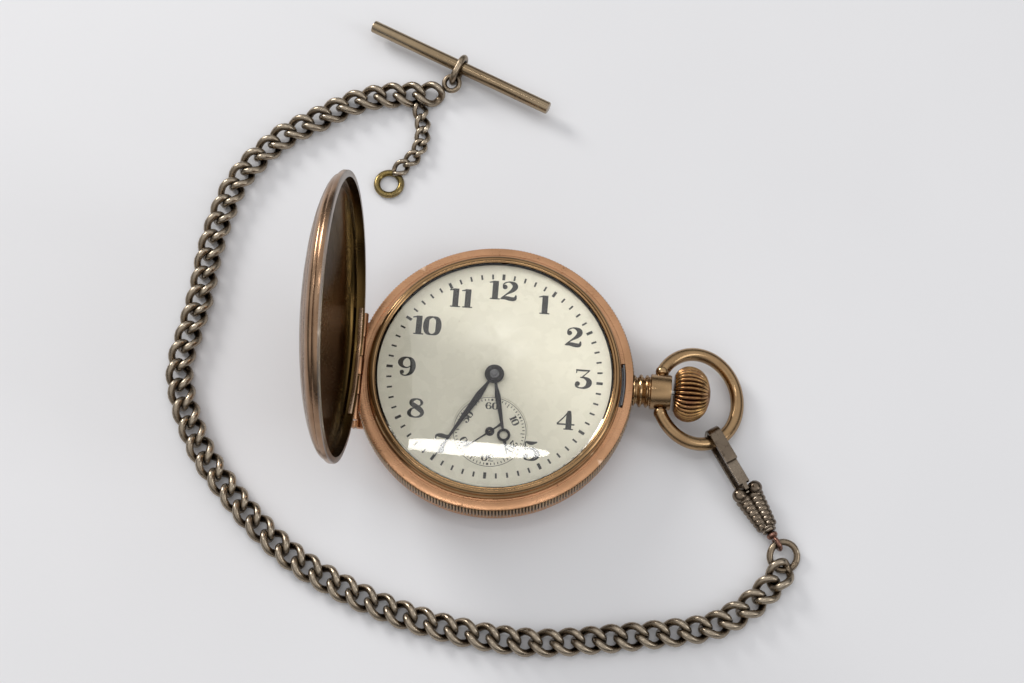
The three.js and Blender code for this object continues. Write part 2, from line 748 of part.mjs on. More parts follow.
add('balance_wheel', balanceWheel(), brass);
add('hairspring', spiral(0.75, 3.4, 3, 0.12, cockTopZ + 0.08, balanceZ - 0.08, 14)
  .translate(balancePlace.x, balancePlace.y, 0), blued);
add('regulator', cut(
  join(
    disc(1.3, cockBottomZ - 0.25, cockBottomZ - fit, ...at(balancePlace), 18),
    block(balancePlace.x - 0.3, balancePlace.x + 0.3, balancePlace.y, balancePlace.y + 4.2,
      cockBottomZ - 0.25, cockBottomZ - fit),
  ),
  disc(0.6, cockBottomZ - 1, cockBottomZ + 1, ...at(balancePlace), 12),
), steel);

// ---- escapement --------------------------------------------------------------------------------
const escapeZ = level(0.4);
add('escape_wheel', join(
  toothed(15, escapeWheelRadius, 0.9, escapeZ, escapeZ + wheelThickness, ...at(escapePlace)),
  toothed(6, escapePinionRadius, 0.15, level(1.1), level(2.1), ...at(escapePlace)),
  arbor(escapePlace, 0.3),
), steel);

function palletFork() {
  const across = new THREE.Vector2(-towardsBalance.y, towardsBalance.x);
  const spot = (forward, side) => palletPlace.clone()
    .addScaledVector(towardsBalance, forward).addScaledVector(across, side);
  const tail = palletPlace.distanceTo(balancePlace) - 0.95;
  const anchor = slab([
    spot(-1.1, -2.5), spot(-0.5, -2.5), spot(0.5, -0.6), spot(tail, -0.25),
    spot(tail, 0.25), spot(0.5, 0.6), spot(-0.5, 2.5), spot(-1.1, 2.5), spot(-0.35, 0),
  ], escapeZ, escapeZ + 0.3);
  const pivots = disc(pivotRadius, escapeZ - 0.35, plateBottomZ + 0.7, ...at(palletPlace), 8);
  return join(anchor, pivots, disc(0.35, escapeZ - 0.05, plateBottomZ - 0.1, ...at(palletPlace), 10));
}

add('pallet_fork', palletFork(), steel);

function palletBridge() {
  const foot = polar(pillarOrbit - 0.6, -50);
  const along = foot.clone().sub(palletPlace).normalize();
  const across = new THREE.Vector2(-along.y, along.x);
  const corner = (base, side) => base.clone().addScaledVector(across, side);
  const z0 = balanceZ + balanceHeight + 0.08;
  const z1 = escapeZ - 0.08;
  const half = 0.9;
  const strip = slab([
    corner(palletPlace, -half),
    corner(foot, -half),
    corner(foot, half),
    corner(palletPlace, half),
  ], z0, z1);
  const head = disc(half, z0, z1, ...at(palletPlace), 12);
  const leg = disc(half, z0, plateBottomZ - fit, ...at(foot), 12);
  return cut(join(strip, head, leg), pivotHole(palletPlace, z0 - 1, z1 + 1));
}

add('pallet_bridge', palletBridge(), nickel);

// ---- going train -------------------------------------------------------------------------------
const centreWheelZ = level(2.15);
const barrelToothZ = level(1.6);
const handArborTopZ = dialTopZ + 0.75;
add('centre_wheel', join(
  toothed(64, centreWheelRadius, 0.3, centreWheelZ, centreWheelZ + wheelThickness),
  toothed(10, pinionRadius, 0.22, level(1.3), level(2.0)),
  disc(0.4, level(0.1), handArborTopZ, 0, 0, 12),
  disc(pivotRadius, arborBottomZ, level(0.3), 0, 0, 8),
), brass);
add('third_wheel', join(
  toothed(60, thirdWheelRadius, 0.28, level(0.4), level(0.4) + wheelThickness, ...at(thirdPlace)),
  toothed(8, pinionRadius, 0.22, level(1.8), level(2.7), ...at(thirdPlace)),
  arbor(thirdPlace),
), brass);
add('fourth_wheel', join(
  toothed(70, fourthWheelRadius, 0.2, level(1.45), level(1.45) + wheelThickness, ...at(fourthPlace)),
  toothed(8, fourthPinionRadius, 0.2, level(0.2), level(0.9), ...at(fourthPlace)),
  arbor(fourthPlace),
  disc(0.22, plateBottomZ - 0.3, dialTopZ + 0.02, ...at(fourthPlace), 8),
), brass);

function barrel() {
  const drum = barrelRadius - 0.45;
  const cup = ringLathe([
    [drum, level(0.15)],
    [drum, level(1.9)],
    [drum - 0.45, level(1.9)],
    [drum - 0.45, level(0.5)],
    [0.9, level(0.5)],
    [0.9, level(0.15)],
  ], 30).translate(barrelPlace.x, barrelPlace.y, 0);
  const teeth = cut(
    toothed(60, barrelRadius, 0.32, barrelToothZ, level(1.95), ...at(barrelPlace)),
    disc(drum - 0.4, level(0), level(3), ...at(barrelPlace), 30),
  );
  return join(cup, teeth);
}

add('barrel', barrel(), brass);
add('mainspring', spiral(1.6, barrelRadius - 1.25, 3, 0.4, level(0.6), level(1.75), 14)
  .translate(barrelPlace.x, barrelPlace.y, 0), steel);
const windingZ = bridgeBottomZ - fit - 0.45;
add('ratchet_wheel', join(
  toothed(36, ratchetRadius, 0.3, windingZ, bridgeBottomZ - fit, ...at(barrelPlace)),
  disc(0.6, windingZ + 0.1, level(2.0), ...at(barrelPlace), 12),
  disc(0.5, level(1.9), plateBottomZ + 0.6, ...at(barrelPlace), 10),
), steel);
add('crown_wheel', join(
  toothed(32, crownWheelRadius, 0.3, windingZ, bridgeBottomZ - fit, ...at(crownWheelPlace)),
  disc(0.6, windingZ + 0.1, bridgeTopZ + 0.1, ...at(crownWheelPlace), 12),
), steel);
const clickPlace = polar(ratchetRadius + 1.6, 150).add(barrelPlace);
const clickBlade = [[-0.5, -0.4], [0.5, -0.4], [0.6, -2.2], [0.2, -2.4]].map(([x, y]) => (
  new THREE.Vector2(clickPlace.x + x, clickPlace.y + y)));
add('click', join(
  disc(0.9, windingZ, bridgeBottomZ - fit, ...at(clickPlace), 12),
  slab(clickBlade, windingZ, bridgeBottomZ - fit),
), steel);

// ---- motion work -------------------------------------------------------------------------------
const motionZ = plateTopZ + 0.15;
const hourTubeRadius = 1.35;
const cannonTube = 0.8;
const hourHandZ = dialTopZ + 0.25;
const minuteHandZ = dialTopZ + 0.55;
const handThickness = 0.15;
add('cannon_pinion', cut(
  join(
    toothed(10, cannonRadius, 0.3, motionZ, motionZ + 0.35),
    disc(cannonTube, motionZ + 0.1, minuteHandZ + 0.05, 0, 0, 14),
  ),
  disc(0.4 + fit, motionZ - 1, minuteHandZ + 1, 0, 0, 12),
), steel);
add('minute_wheel', join(
  toothed(30, minuteWheelRadius, 0.3, motionZ, motionZ + wheelThickness, ...at(minutePlace)),
  toothed(8, minutePinionRadius, 0.25, motionZ + 0.1, motionZ + 0.85, ...at(minutePlace)),
  disc(0.25, plateTopZ - 0.6, motionZ + 0.1, ...at(minutePlace), 8),
), brass);
add('hour_wheel', cut(
  join(
    toothed(32, hourWheelRadius, 0.3, motionZ + 0.5, motionZ + 0.7),
    disc(hourTubeRadius, motionZ + 0.5, hourHandZ + 0.05, 0, 0, 16),
  ),
  disc(cannonTube + fit, motionZ - 1, hourHandZ + 1, 0, 0, 14),
), brass);

// ---- dial --------------------------------------------------------------------------------------
const dialRadius = plateRadius - 0.05;
const secondsStep = 0.15;      // the seconds dial is sunk by this much
add('dial', cut(
  disc(dialRadius, dialTopZ - dialThickness, dialTopZ, 0, 0, round),
  disc(hourTubeRadius + 0.25, dialTopZ - 2, dialTopZ + 1, 0, 0, 16),
  disc(secondsRadius, dialTopZ - 2, dialTopZ + 1, ...at(fourthPlace), 32),
), enamel);
add('seconds_dial', cut(
  disc(secondsRadius - fit, dialTopZ - dialThickness, dialTopZ - secondsStep, ...at(fourthPlace), 32),
  disc(0.4, dialTopZ - 2, dialTopZ + 1, ...at(fourthPlace), 10),
), enamel);

// ---- hands, all pointing where they stop -------------------------------------------------------
const minuteAngle = 90 - 35 * 6;
const hourAngle = 90 - (5 + 35 / 60) * 30;
const secondAngle = 218;

function hand(outline, hubRadius, boreSize, z, degrees, place = centrePlace) {
  // an outline of [distance, half width] pairs, mirrored about the hand's own line
  const side = outline.map(([along, half]) => new THREE.Vector2(along, half));
  const other = outline.map(([along, half]) => new THREE.Vector2(along, -half)).reverse();
  const blade = slab([...side, ...other], z, z + handThickness);
  const hub = disc(hubRadius, z, z + handThickness, 0, 0, 20);
  const whole = cut(join(blade, hub), disc(boreSize, z - 1, z + 1, 0, 0, 14));
  return whole.rotateZ(rad(degrees)).translate(place.x, place.y, 0);
}

function hourHand() {
  const moonAt = 11.6 * layout;
  const outline = [
    [0, 0.2],
    [4, 0.5],
    [moonAt - 0.8, 0.2],
    [moonAt, 0.2],
    [moonAt + 0.8, 0.3],
    [moonAt + 3.6, 0.06],
  ];
  const z = hourHandZ + 0.1;
  const blade = hand(outline, 1.9, hourTubeRadius + fit, z, 0);
  const moon = disc(1.15, z, z + handThickness, moonAt, 0, 18);
  const hole = disc(0.75, z - 1, z + 1, moonAt, 0, 16);
  return cut(join(blade, moon), hole).rotateZ(rad(hourAngle));
}

const minuteOutline = [[0, 0.25], [5, 0.55], [19.2 * layout, 0.06]];
const secondOutline = [[-2.6, 0.25], [0, 0.12], [5.3, 0.06]];
const secondHandZ = dialTopZ - 0.05;
add('hour_hand', hourHand(), blued);
add('minute_hand', hand(minuteOutline, 1.5, 0.86, minuteHandZ, minuteAngle), blued);
add('second_hand', hand(secondOutline, 0.7, 0.27, secondHandZ, secondAngle, fourthPlace), blued);

// ---- bow, hanging from the pendant's pivots ----------------------------------------------------
const bowGap = pendantRadius + 0.7;       // half the opening of the wire at the pivots
const bowReach = bowHalfLength * Math.sqrt(1 - (bowGap / bowHalfWidth) ** 2);
const bowHinge = new THREE.Group();
bowHinge.position.set(bowPivotX, 0, stemHeight);
bowHinge.rotation.y = rad(bowDroop);
watch.add(bowHinge);

function bow() {
  const start = Math.asin(bowGap / bowHalfWidth);
  const points = [];
  const steps = 24;
  for (let i = 0; i <= steps; i++) {
    const angle = Math.PI - start - (2 * (Math.PI - start) * i) / steps;
    const x = bowReach + bowHalfLength * Math.cos(angle);
    points.push(vec(x, bowHalfWidth * Math.sin(angle), 0));
  }
  const wire = tube(points, ovalSection(bowWire, bowWire, 8), 24);
  const side = pendantRadius + 0.12;
  const ends = [-1, 1].flatMap((sign) => [
    rod(bowWire + 0.1, vec(0, sign * side, 0), vec(0, sign * (side + 1.5), 0), 14),
    rod(0.7, vec(0, sign * (pendantBore + 0.15), 0), vec(0, sign * (side + 0.5), 0)),
  ]);
  return join(wire, ...ends);
}

add('bow', bow(), paleGold, bowHinge);

// ---- swivel clasp, hooked on the bow -----------------------------------------------------------
const hookShare = 0.53;        // where along X the hook holds the bow, as a share of its half length
const hookLocalX = bowReach + bowHalfLength * hookShare;
const hookLocalY = -bowHalfWidth * Math.sqrt(1 - hookShare ** 2);
const hookPoint = vec(
  bowPivotX + hookLocalX * Math.cos(rad(bowDroop)),
  hookLocalY,
  stemHeight - hookLocalX * Math.sin(rad(bowDroop)),
);
const clasp = new THREE.Group();
clasp.position.set(hookPoint.x, hookPoint.y, 0);
clasp.rotation.z = rad(claspAngle);
watch.add(clasp);
const claspFloor = 0.1;
const claspTop = claspFloor + claspHeight;
const axisHeight = 2.1;        // of the swivel post
const pivotHeight = 2.9;       // of the gate's pin
const ballRadius = 1.1;
const ballSpread = 1.6;
const swivelRadius = 0.45;

function sideways(outline, halfWidth) {
  // an outline in the clasp's length and height, with its width along Y
  const points = outline.map(([u, w]) => new THREE.Vector2(u, w));
  return slab(points, -halfWidth, halfWidth).rotateX(Math.PI / 2);
}

function hookOutline() {
  const front = -(bowWire + 0.35);
  const bend = 1.2;
  const steps = 4;
  const quarter = (radius) => Array.from({ length: steps + 1 }, (_, i) => {
    const turn = polar(radius, 90 + (90 * i) / steps);
    return [front + bend + turn.x, claspTop - bend - claspWall + turn.y];
  });
  const outer = quarter(bend + claspWall);
  const inner = quarter(bend);
  const lowOuter = outer.map(([u, w]) => [u, claspTop + claspFloor - w]).reverse();
  const lowInner = inner.map(([u, w]) => [u, claspTop + claspFloor - w]).reverse();
  const tail = claspPivot + 1.7;
  return [
    [5.0, claspTop - claspWall],
    [5.0, claspTop],
    ...outer,
    ...lowOuter,
    [tail, claspFloor],
    [tail, claspFloor + claspWall],
    ...lowInner.reverse(),
    ...inner.reverse(),
  ];
}

function pivotRod(radius, reach, segments) {
  // a rod along the gate's pivot line
  const end = (side) => vec(claspPivot, side * reach, pivotHeight);
  return rod(radius, end(-1), end(1), segments);
}

function swivelRod(radius, from, to, segments = 12) {
  return rod(radius, vec(from, 0, axisHeight), vec(to, 0, axisHeight), segments);
}

function claspBody() {
  const jawInside = 0.55;
  const jawOutside = 1.7;
  const halves = [-1, 1].flatMap((side) => {
    const [y0, y1] = [side * jawInside, side * jawOutside].sort((a, b) => a - b);
    return [
      block(claspPivot - 0.3, claspPivot + 1.7, y0, y1, 0.5, 3.3),
      new THREE.SphereGeometry(ballRadius, 10, 6).translate(claspPivot, side * ballSpread, pivotHeight),
      rod(1.05, vec(claspPivot + 1.3, side, axisHeight), vec(claspEnd - 0.5, side * 0.6, axisHeight)),
    ];
  });
  const collar = swivelRod(1.35, claspEnd - 0.9, claspEnd, 16);
  return cut(
    join(sideways(hookOutline(), claspWidth / 2), ...halves, collar),
    pivotRod(pinRadius + fit, ballSpread + ballRadius + 1, 10),
    swivelRod(swivelRadius + 2 * fit, claspEnd - 2.6, claspEnd + 1),
  );
}

add('clasp_body', claspBody(), oldSilver, clasp);
const gateTop = claspTop - claspWall - fit;
const gateWall = 0.6;
add('clasp_gate', cut(
  join(
    sideways([
      [4.4, gateTop - gateWall],
      [4.4, gateTop],
      [claspPivot - 1.4, gateTop],
      [claspPivot - 0.2, gateTop - 0.35],
      [claspPivot - 0.2, gateTop - gateWall - 0.5],
      [claspPivot - 1.2, gateTop - gateWall],
    ], 0.42),
    sideways([
      [4.4, gateTop - gateWall],
      [4.4, gateTop],
      [claspPivot - 1.4, gateTop],
      [claspPivot - 1.4, gateTop - gateWall],
    ], claspWidth / 2 - 0.1),
    pivotRod(0.8, 0.42, 14),
  ),
  pivotRod(pinRadius + fit, 1, 10),
), oldSilver, clasp);
add('clasp_pin', pivotRod(pinRadius, ballSpread + 0.9, 10), oldSilver, clasp);

const eyeRadius = 1.12;
const eyeWire = 0.42;
const eyeAt = claspEnd + 2.35;
add('clasp_swivel', join(
  swivelRod(swivelRadius, claspEnd - 2.4, claspEnd + 0.5),
  swivelRod(0.7, claspEnd + 0.12, eyeAt - eyeRadius),
  torus(eyeRadius, eyeWire, 14, 7).rotateX(Math.PI / 2).translate(eyeAt, 0, axisHeight),
), oldSilver, clasp);

const ringTilt = Math.asin((axisHeight - ringWire) / (2 * ringRadius));
const claspRing = add('clasp_ring', torus(ringRadius, ringWire, 20, 7), oldSilver, clasp);
claspRing.rotation.y = ringTilt;
claspRing.position.x = eyeAt + ringRadius * Math.cos(ringTilt);
claspRing.position.z = axisHeight - ringRadius * Math.sin(ringTilt);

// ---- chain on the table, from the clasp's ring round to the T-bar ------------------------------
clasp.updateMatrixWorld(true);
const ringCentre = claspRing.getWorldPosition(new THREE.Vector3());
const chainRoute = [
  [52.8, -31.6], [48.9, -36.2], [44.1, -39.8], [39.4, -41.8], [29.0, -43.8],
  [13.3, -46.2], [4.5, -46.2], [-4.4, -45.1], [-13.4, -43.0], [-22.6, -39.7],
  [-32.1, -35.0], [-39.9, -29.1], [-46.0, -23.0], [-51.3, -16.8], [-54.9, -10.4],
  [-57.4, -3.8], [-58.0, 1.0], [-57.4, 5.0], [-56.6, 10.1], [-55.9, 15.1],
  [-55.6, 20.2], [-55.1, 25.3], [-54.1, 30.6], [-52.4, 36.9], [-49.2, 42.4],
  [-44.1, 48.1], [-38.7, 51.7], [-32.3, 55.8], [-26.8, 57.9], [-22.0, 58.6],
  [-17.4, 59.1],
];
const ringSide = ringRadius + ringWire + 0.35;

function chain() {
  const points = chainRoute.map(([x, y]) => vec(x, y, chainHeight / 2 + 0.12));
  const firstWay = points[0].clone().sub(ringCentre).setZ(0).normalize();
  const first = ringCentre.clone().setZ(points[0].z).addScaledVector(firstWay, ringSide);
  const rest = points.filter((point) => point.distanceTo(ringCentre) > ringSide + 0.8);
  return tube([first, ...rest], ovalSection(chainHeight / 2, chainWidth / 2), 34);
}

add('chain', chain(), oldSilver);

const dropRoute = [[-18.6, 55.2], [-17.8, 51.1], [-18.6, 46.7], [-21.3, 43.4]];
const dropEnd = new THREE.Vector2(-23.3, 40.1);
const dropPoints = dropRoute.map(([x, y]) => vec(x, y, dropHeight / 2));
const dropRing = torus(ringRadius, ringWire, 20, 7).translate(dropEnd.x, dropEnd.y, ringWire);
add('drop_chain', tube(dropPoints, ovalSection(dropHeight / 2, dropWidth / 2), 10), oldSilver);
add('drop_ring', dropRing, brass);

// ---- T-bar with its loop and link --------------------------------------------------------------
const loopWire = 0.6;
const loopHalfLength = 2.65;
const loopHalfWidth = 1.95;
const loopTilt = rad(12);
const linkRadius = 1.45;
const linkWire = 0.5;
const barHeight = 2.85;
const barCentre = vec(-11.7, 64.8, barHeight);
const tBar = new THREE.Group();
tBar.position.copy(barCentre);
tBar.rotation.z = rad(barAngle);
watch.add(tBar);
const barEnd = barLength / 2;
add('t_bar', rod(barRadius, vec(-barEnd, 0, 0), vec(barEnd, 0, 0), 16), brass, tBar);

function ovalLoop() {
  // a ring about X whose two halves are drawn apart along Y, which leaves straight sides
  const ring = torus(loopHalfWidth, loopWire, 18, 7).rotateY(Math.PI / 2);
  const place = ring.attributes.position;
  for (let i = 0; i < place.count; i++) {
    const side = Math.sign(Math.round(place.getY(i) * 100));
    place.setY(i, place.getY(i) + side * (loopHalfLength - loopHalfWidth));
  }
  return ring;
}

const loopShift = loopHalfLength - loopWire - barRadius - 0.12;
const loop = add('t_bar_loop', ovalLoop(), oldSilver, tBar);
loop.rotation.x = loopTilt;
loop.position.set(0, -loopShift * Math.cos(loopTilt), -loopShift * Math.sin(loopTilt));
const linkShift = loopShift + loopHalfLength - loopWire - linkWire - 0.08 + linkRadius;
const link = add('t_bar_link', torus(linkRadius, linkWire, 16, 7), oldSilver, tBar);
link.rotation.x = loopTilt;
link.position.set(0, -linkShift * Math.cos(loopTilt), -linkShift * Math.sin(loopTilt));

export default watch;
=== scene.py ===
# Hunter pocket watch lying open, with its crown, bow, swivel clasp, curb chain and T-bar.
import json
import math
import random

import bmesh
import bpy
from mathutils import Matrix, Vector


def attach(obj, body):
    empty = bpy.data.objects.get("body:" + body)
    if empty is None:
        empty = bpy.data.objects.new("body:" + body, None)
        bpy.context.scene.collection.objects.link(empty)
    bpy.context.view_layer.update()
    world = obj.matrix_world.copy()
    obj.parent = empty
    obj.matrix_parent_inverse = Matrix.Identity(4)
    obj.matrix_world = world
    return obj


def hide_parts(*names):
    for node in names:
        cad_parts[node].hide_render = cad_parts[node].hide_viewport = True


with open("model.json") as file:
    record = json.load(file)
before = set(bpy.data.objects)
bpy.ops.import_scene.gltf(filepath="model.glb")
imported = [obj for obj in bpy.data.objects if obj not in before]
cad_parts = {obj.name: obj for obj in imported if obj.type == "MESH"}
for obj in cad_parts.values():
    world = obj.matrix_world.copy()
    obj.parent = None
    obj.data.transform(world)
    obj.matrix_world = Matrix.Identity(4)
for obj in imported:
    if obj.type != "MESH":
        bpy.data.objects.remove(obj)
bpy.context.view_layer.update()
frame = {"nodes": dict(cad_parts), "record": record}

print("frame loaded:", len(frame["nodes"]), "nodes")

mm = 0.001  # shapes below are drawn in millimetres, in the watch's own frame
stemHeight = 6.5
up = Vector((0, 0, 1))

# camera, settled before anything else
cameraLook = {
    "target": (2.62, 7.2, 8.0),
    "distance": 391.6,
    "azimuth": 4.3,
    "elevation": 69.5,
    "lens": 75.9,
}


def makeCamera(look):
    az, el = math.radians(look["azimuth"]), math.radians(look["elevation"])
    back = Vector((math.sin(az) * math.cos(el), -math.cos(az) * math.cos(el), math.sin(el)))
    target = Vector(look["target"])
    data = bpy.data.cameras.new("camera")
    data.lens = look["lens"]
    data.sensor_width = 36
    data.clip_start = 0.01
    cam = bpy.data.objects.new("camera", data)
    cam.location = (target + back * look["distance"]) * mm
    cam.rotation_euler = (-back).to_track_quat("-Z", "Y").to_euler()
    bpy.context.scene.collection.objects.link(cam)
    bpy.context.scene.camera = cam


makeCamera(cameraLook)
print("camera placed")

# shapes: each is (points, faces, material numbers)


def polar(radius, degrees):
    return radius * math.cos(math.radians(degrees)), radius * math.sin(math.radians(degrees))


def rotation(degrees, axis):
    return Matrix.Rotation(math.radians(degrees), 4, axis)


def lathe(profile, segments, closed=True, wave=None):
    # profile of (radius, height) or (radius, height, material), turned about Z
    rows, points, faces, marks = [], [], [], []
    for row in profile:
        r, z = row[0], row[1]
        if r < 1e-6:
            rows.append([len(points)])
            points.append((0, 0, z))
            continue
        start = len(points)
        for i in range(segments):
            a = 2 * math.pi * i / segments
            rr = r + (wave(a, r, z) if wave else 0)
            points.append((rr * math.cos(a), rr * math.sin(a), z))
        rows.append(list(range(start, start + segments)))
    count = len(rows) if closed else len(rows) - 1
    for k in range(count):
        low, high = rows[k], rows[(k + 1) % len(rows)]
        mark = profile[k][2] if len(profile[k]) > 2 else 0
        if len(low) == 1 and len(high) == 1:
            continue
        for i in range(segments):
            j = (i + 1) % segments
            if len(low) == 1:
                faces.append((low[0], high[j], high[i]))
            elif len(high) == 1:
                faces.append((low[i], low[j], high[0]))
            else:
                faces.append((low[i], low[j], high[j], high[i]))
            marks.append(mark)
    return points, faces, marks


def wire(route, radius, closed=False, sides=16):
    # a round wire along a route; radius may be one number or one per point
    pts = [Vector(p) for p in route]
    n = len(pts)
    radii = radius if isinstance(radius, list) else [radius] * n
    ways = []
    for i in range(n):
        before = pts[(i - 1) % n] if closed else pts[max(i - 1, 0)]
        after = pts[(i + 1) % n] if closed else pts[min(i + 1, n - 1)]
        ways.append((after - before).normalized())
    side = ways[0].orthogonal().normalized() if abs(ways[0].z) > 0.95 else up.cross(ways[0]).normalized()
    sidesList = []
    for way in ways:
        side = (side - way * side.dot(way)).normalized()
        sidesList.append(side.copy())
    if closed:  # spread what is left of the turn over the loop
        last = sidesList[-1] - ways[0] * sidesList[-1].dot(ways[0])
        gap = last.normalized().angle(sidesList[0], 0)
        sign = 1 if last.cross(sidesList[0]).dot(ways[0]) > 0 else -1
        sidesList = [Matrix.Rotation(sign * gap * i / n, 3, ways[i]) @ s for i, s in enumerate(sidesList)]
    points, faces = [], []
    for i in range(n):
        other = ways[i].cross(sidesList[i])
        for k in range(sides):
            a = 2 * math.pi * k / sides
            points.append(pts[i] + (sidesList[i] * math.cos(a) + other * math.sin(a)) * radii[i])
    for i in range(n if closed else n - 1):
        j = (i + 1) % n
        for k in range(sides):
            m = (k + 1) % sides
            faces.append((i * sides + k, i * sides + m, j * sides + m, j * sides + k))
    if not closed:
        faces.append(tuple(range(sides)))
        faces.append(tuple(range((n - 1) * sides, n * sides)))
    return points, faces, [0] * len(faces)


def plate(outline, z0, z1):
    n = len(outline)
    points = [(x, y, z0) for x, y in outline] + [(x, y, z1) for x, y in outline]
    faces = [tuple(range(n)), tuple(range(n, 2 * n))]
    faces += [(i, (i + 1) % n, n + (i + 1) % n, n + i) for i in range(n)]
    return points, faces, [0] * len(faces)


def box(x0, x1, y0, y1, z0, z1):
    return plate([(x0, y0), (x1, y0), (x1, y1), (x0, y1)], z0, z1)


def rod(start, end, radius):
    return wire([start, end], radius, sides=24)


def moved(shape, matrix):
    points, faces, marks = shape
    return [matrix @ Vector(p) for p in points], faces, marks


def ball(centre, radius):
    rings = 14
    angles = [math.pi * i / rings for i in range(rings + 1)]
    half = [(radius * math.sin(a), -radius * math.cos(a)) for a in angles]
    return moved(lathe(half, 28, closed=False), Matrix.Translation(centre))


def smooth(points, steps):
    # a rounded line through the points
    pts = [Vector(p) for p in points]
    last = len(pts) - 1
    out = []
    for i in range(last):
        a, b, c, d = (pts[min(max(i + k, 0), last)] for k in (-1, 0, 1, 2))
        for s in range(steps):
            t = s / steps
            out.append(0.5 * ((2 * b) + (c - a) * t + (2 * a - 5 * b + 4 * c - d) * t * t
                              + (3 * b - a - 3 * c + d) * t ** 3))
    return out + [pts[-1]]


aboutStem = Matrix.Translation((0, 0, stemHeight)) @ rotation(90, "Y")


def makeObject(name, shapes, materials, angle=32, bevel=0.0, bevelSteps=2):
    verts, faces, marks = [], [], []
    for shape in shapes:
        start = len(verts)
        verts += [Vector(p) * mm for p in shape[0]]
        faces += [tuple(i + start for i in face) for face in shape[1]]
        marks += shape[2]
    mesh = bpy.data.meshes.new(name)
    mesh.from_pydata(verts, [], faces)
    for material in materials:
        mesh.materials.append(material)
    mesh.polygons.foreach_set("material_index", marks)
    bm = bmesh.new()
    bm.from_mesh(mesh)
    bmesh.ops.recalc_face_normals(bm, faces=bm.faces)
    bm.to_mesh(mesh)
    bm.free()
    mesh.shade_smooth()
    mesh.set_sharp_from_angle(angle=math.radians(angle))
    obj = bpy.data.objects.new(name, mesh)
    bpy.context.scene.collection.objects.link(obj)
    if bevel:
        edge = obj.modifiers.new("edges", "BEVEL")
        edge.width = bevel * mm
        edge.segments = bevelSteps
        edge.limit_method = "ANGLE"
        edge.angle_limit = math.radians(angle)
        edge.harden_normals = True
    return obj


def piece(name, shapes, materials, body, slot, nodes=(), **how):
    obj = makeObject(name, shapes, materials if isinstance(materials, list) else [materials], **how)
    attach(obj, body)
    if nodes:
        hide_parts(*nodes)
    return obj


# finishes


def startMaterial(name):
    mat = bpy.data.materials.new(name)
    mat.use_nodes = True
    nodes = mat.node_tree.nodes
    coords = nodes.new("ShaderNodeTexCoord")
    return mat, nodes, mat.node_tree.links, nodes["Principled BSDF"], coords.outputs["Object"]


def noise(nodes, links, where, sizeMm, detail=4.0, stretch=None, rough=0.55):
    tex = nodes.new("ShaderNodeTexNoise")
    tex.inputs["Scale"].default_value = 1000.0 / sizeMm
    tex.inputs["Detail"].default_value = detail
    tex.inputs["Roughness"].default_value = rough
    if stretch:
        mapping = nodes.new("ShaderNodeMapping")
        mapping.inputs["Scale"].default_value = stretch
        links.new(where, mapping.inputs["Vector"])
        where = mapping.outputs["Vector"]
    links.new(where, tex.inputs["Vector"])
    return tex.outputs["Fac"]


def ramp(nodes, links, fac, stops):
    node = nodes.new("ShaderNodeValToRGB")
    items = node.color_ramp.elements
    while len(items) < len(stops):
        items.new(0.5)
    for item, (at, value) in zip(items, stops):
        item.position = at
        item.color = (*value, 1) if isinstance(value, tuple) else (value, value, value, 1)
    links.new(fac, node.inputs["Fac"])
    return node.outputs["Color"]


def blendColours(nodes, links, fac, a, b, kind="MIX"):
    node = nodes.new("ShaderNodeMix")
    node.data_type = "RGBA"
    node.blend_type = kind
    for socket, value in ((node.inputs["Factor"], fac), (node.inputs[6], a), (node.inputs[7], b)):
        if isinstance(value, bpy.types.NodeSocket):
            links.new(value, socket)
        else:
            socket.default_value = (*value, 1) if isinstance(value, tuple) else value
    return node.outputs[2]


def bump(nodes, links, shader, height, depthMm):
    node = nodes.new("ShaderNodeBump")
    node.inputs["Distance"].default_value = depthMm * mm
    node.inputs["Strength"].default_value = 1.0
    links.new(height, node.inputs["Height"])
    links.new(node.outputs["Normal"], shader.inputs["Normal"])


def metal(name, look):
    # worn metal: two tones in soft patches, painted shade in hollows (tarnish as well, on the old silver),
    # lighter on edges as rubbed wear and a painted highlight, with fine scratches
    mat, nodes, links, shader, where = startMaterial(name)
    shader.inputs["Metallic"].default_value = 1.0
    patches = ramp(nodes, links, noise(nodes, links, where, look["patchMm"]), [(0.32, 0.0), (0.68, 1.0)])
    colour = blendColours(nodes, links, patches, look["colour"], look["second"])
    specks = ramp(nodes, links, noise(nodes, links, where, look["speckMm"], 6.0, rough=0.7),
                  [(look["speckFrom"], 0.0), (look["speckFrom"] + 0.1, 1.0)])
    colour = blendColours(nodes, links, specks, colour, look["dirtAndShade"])
    # painted shade in hollows: ambient occlusion blends the colour towards the dirt-and-shade colour
    if look.get("hollowMm"):
        hollow = nodes.new("ShaderNodeAmbientOcclusion")
        hollow.samples = 6
        hollow.inputs["Distance"].default_value = look["hollowMm"] * mm
        hollowShade = ramp(nodes, links, hollow.outputs["AO"], [(look.get("hollowFrom", 0.25), 1.0), (0.9, 0.0)])
        colour = blendColours(nodes, links, hollowShade, colour, look["dirtAndShade"])
    # painted highlight: pointy edges are lightened towards the edge colour, which also stands for rubbed
    # wear
    shape = nodes.new("ShaderNodeNewGeometry")
    edgeFrom = look.get("edgeFrom", 0.53)
    edge = ramp(nodes, links, shape.outputs["Pointiness"], [(edgeFrom, 0.0), (edgeFrom + 0.09, 1.0)])
    colour = blendColours(nodes, links, edge, colour, look["edge"])
    links.new(colour, shader.inputs["Base Color"])
    scratches = noise(nodes, links, where, look["scratchMm"], 3.0, stretch=look.get("stretch", (1, 7, 1)))
    smudges = noise(nodes, links, where, look["patchMm"] * 0.6, 5.0)
    both = blendColours(nodes, links, 0.5, scratches, smudges)
    low, high = look["rough"]
    links.new(ramp(nodes, links, both, [(0.35, low), (0.65, high)]), shader.inputs["Roughness"])
    bump(nodes, links, shader, scratches, look["scratchDepthMm"])
    return mat


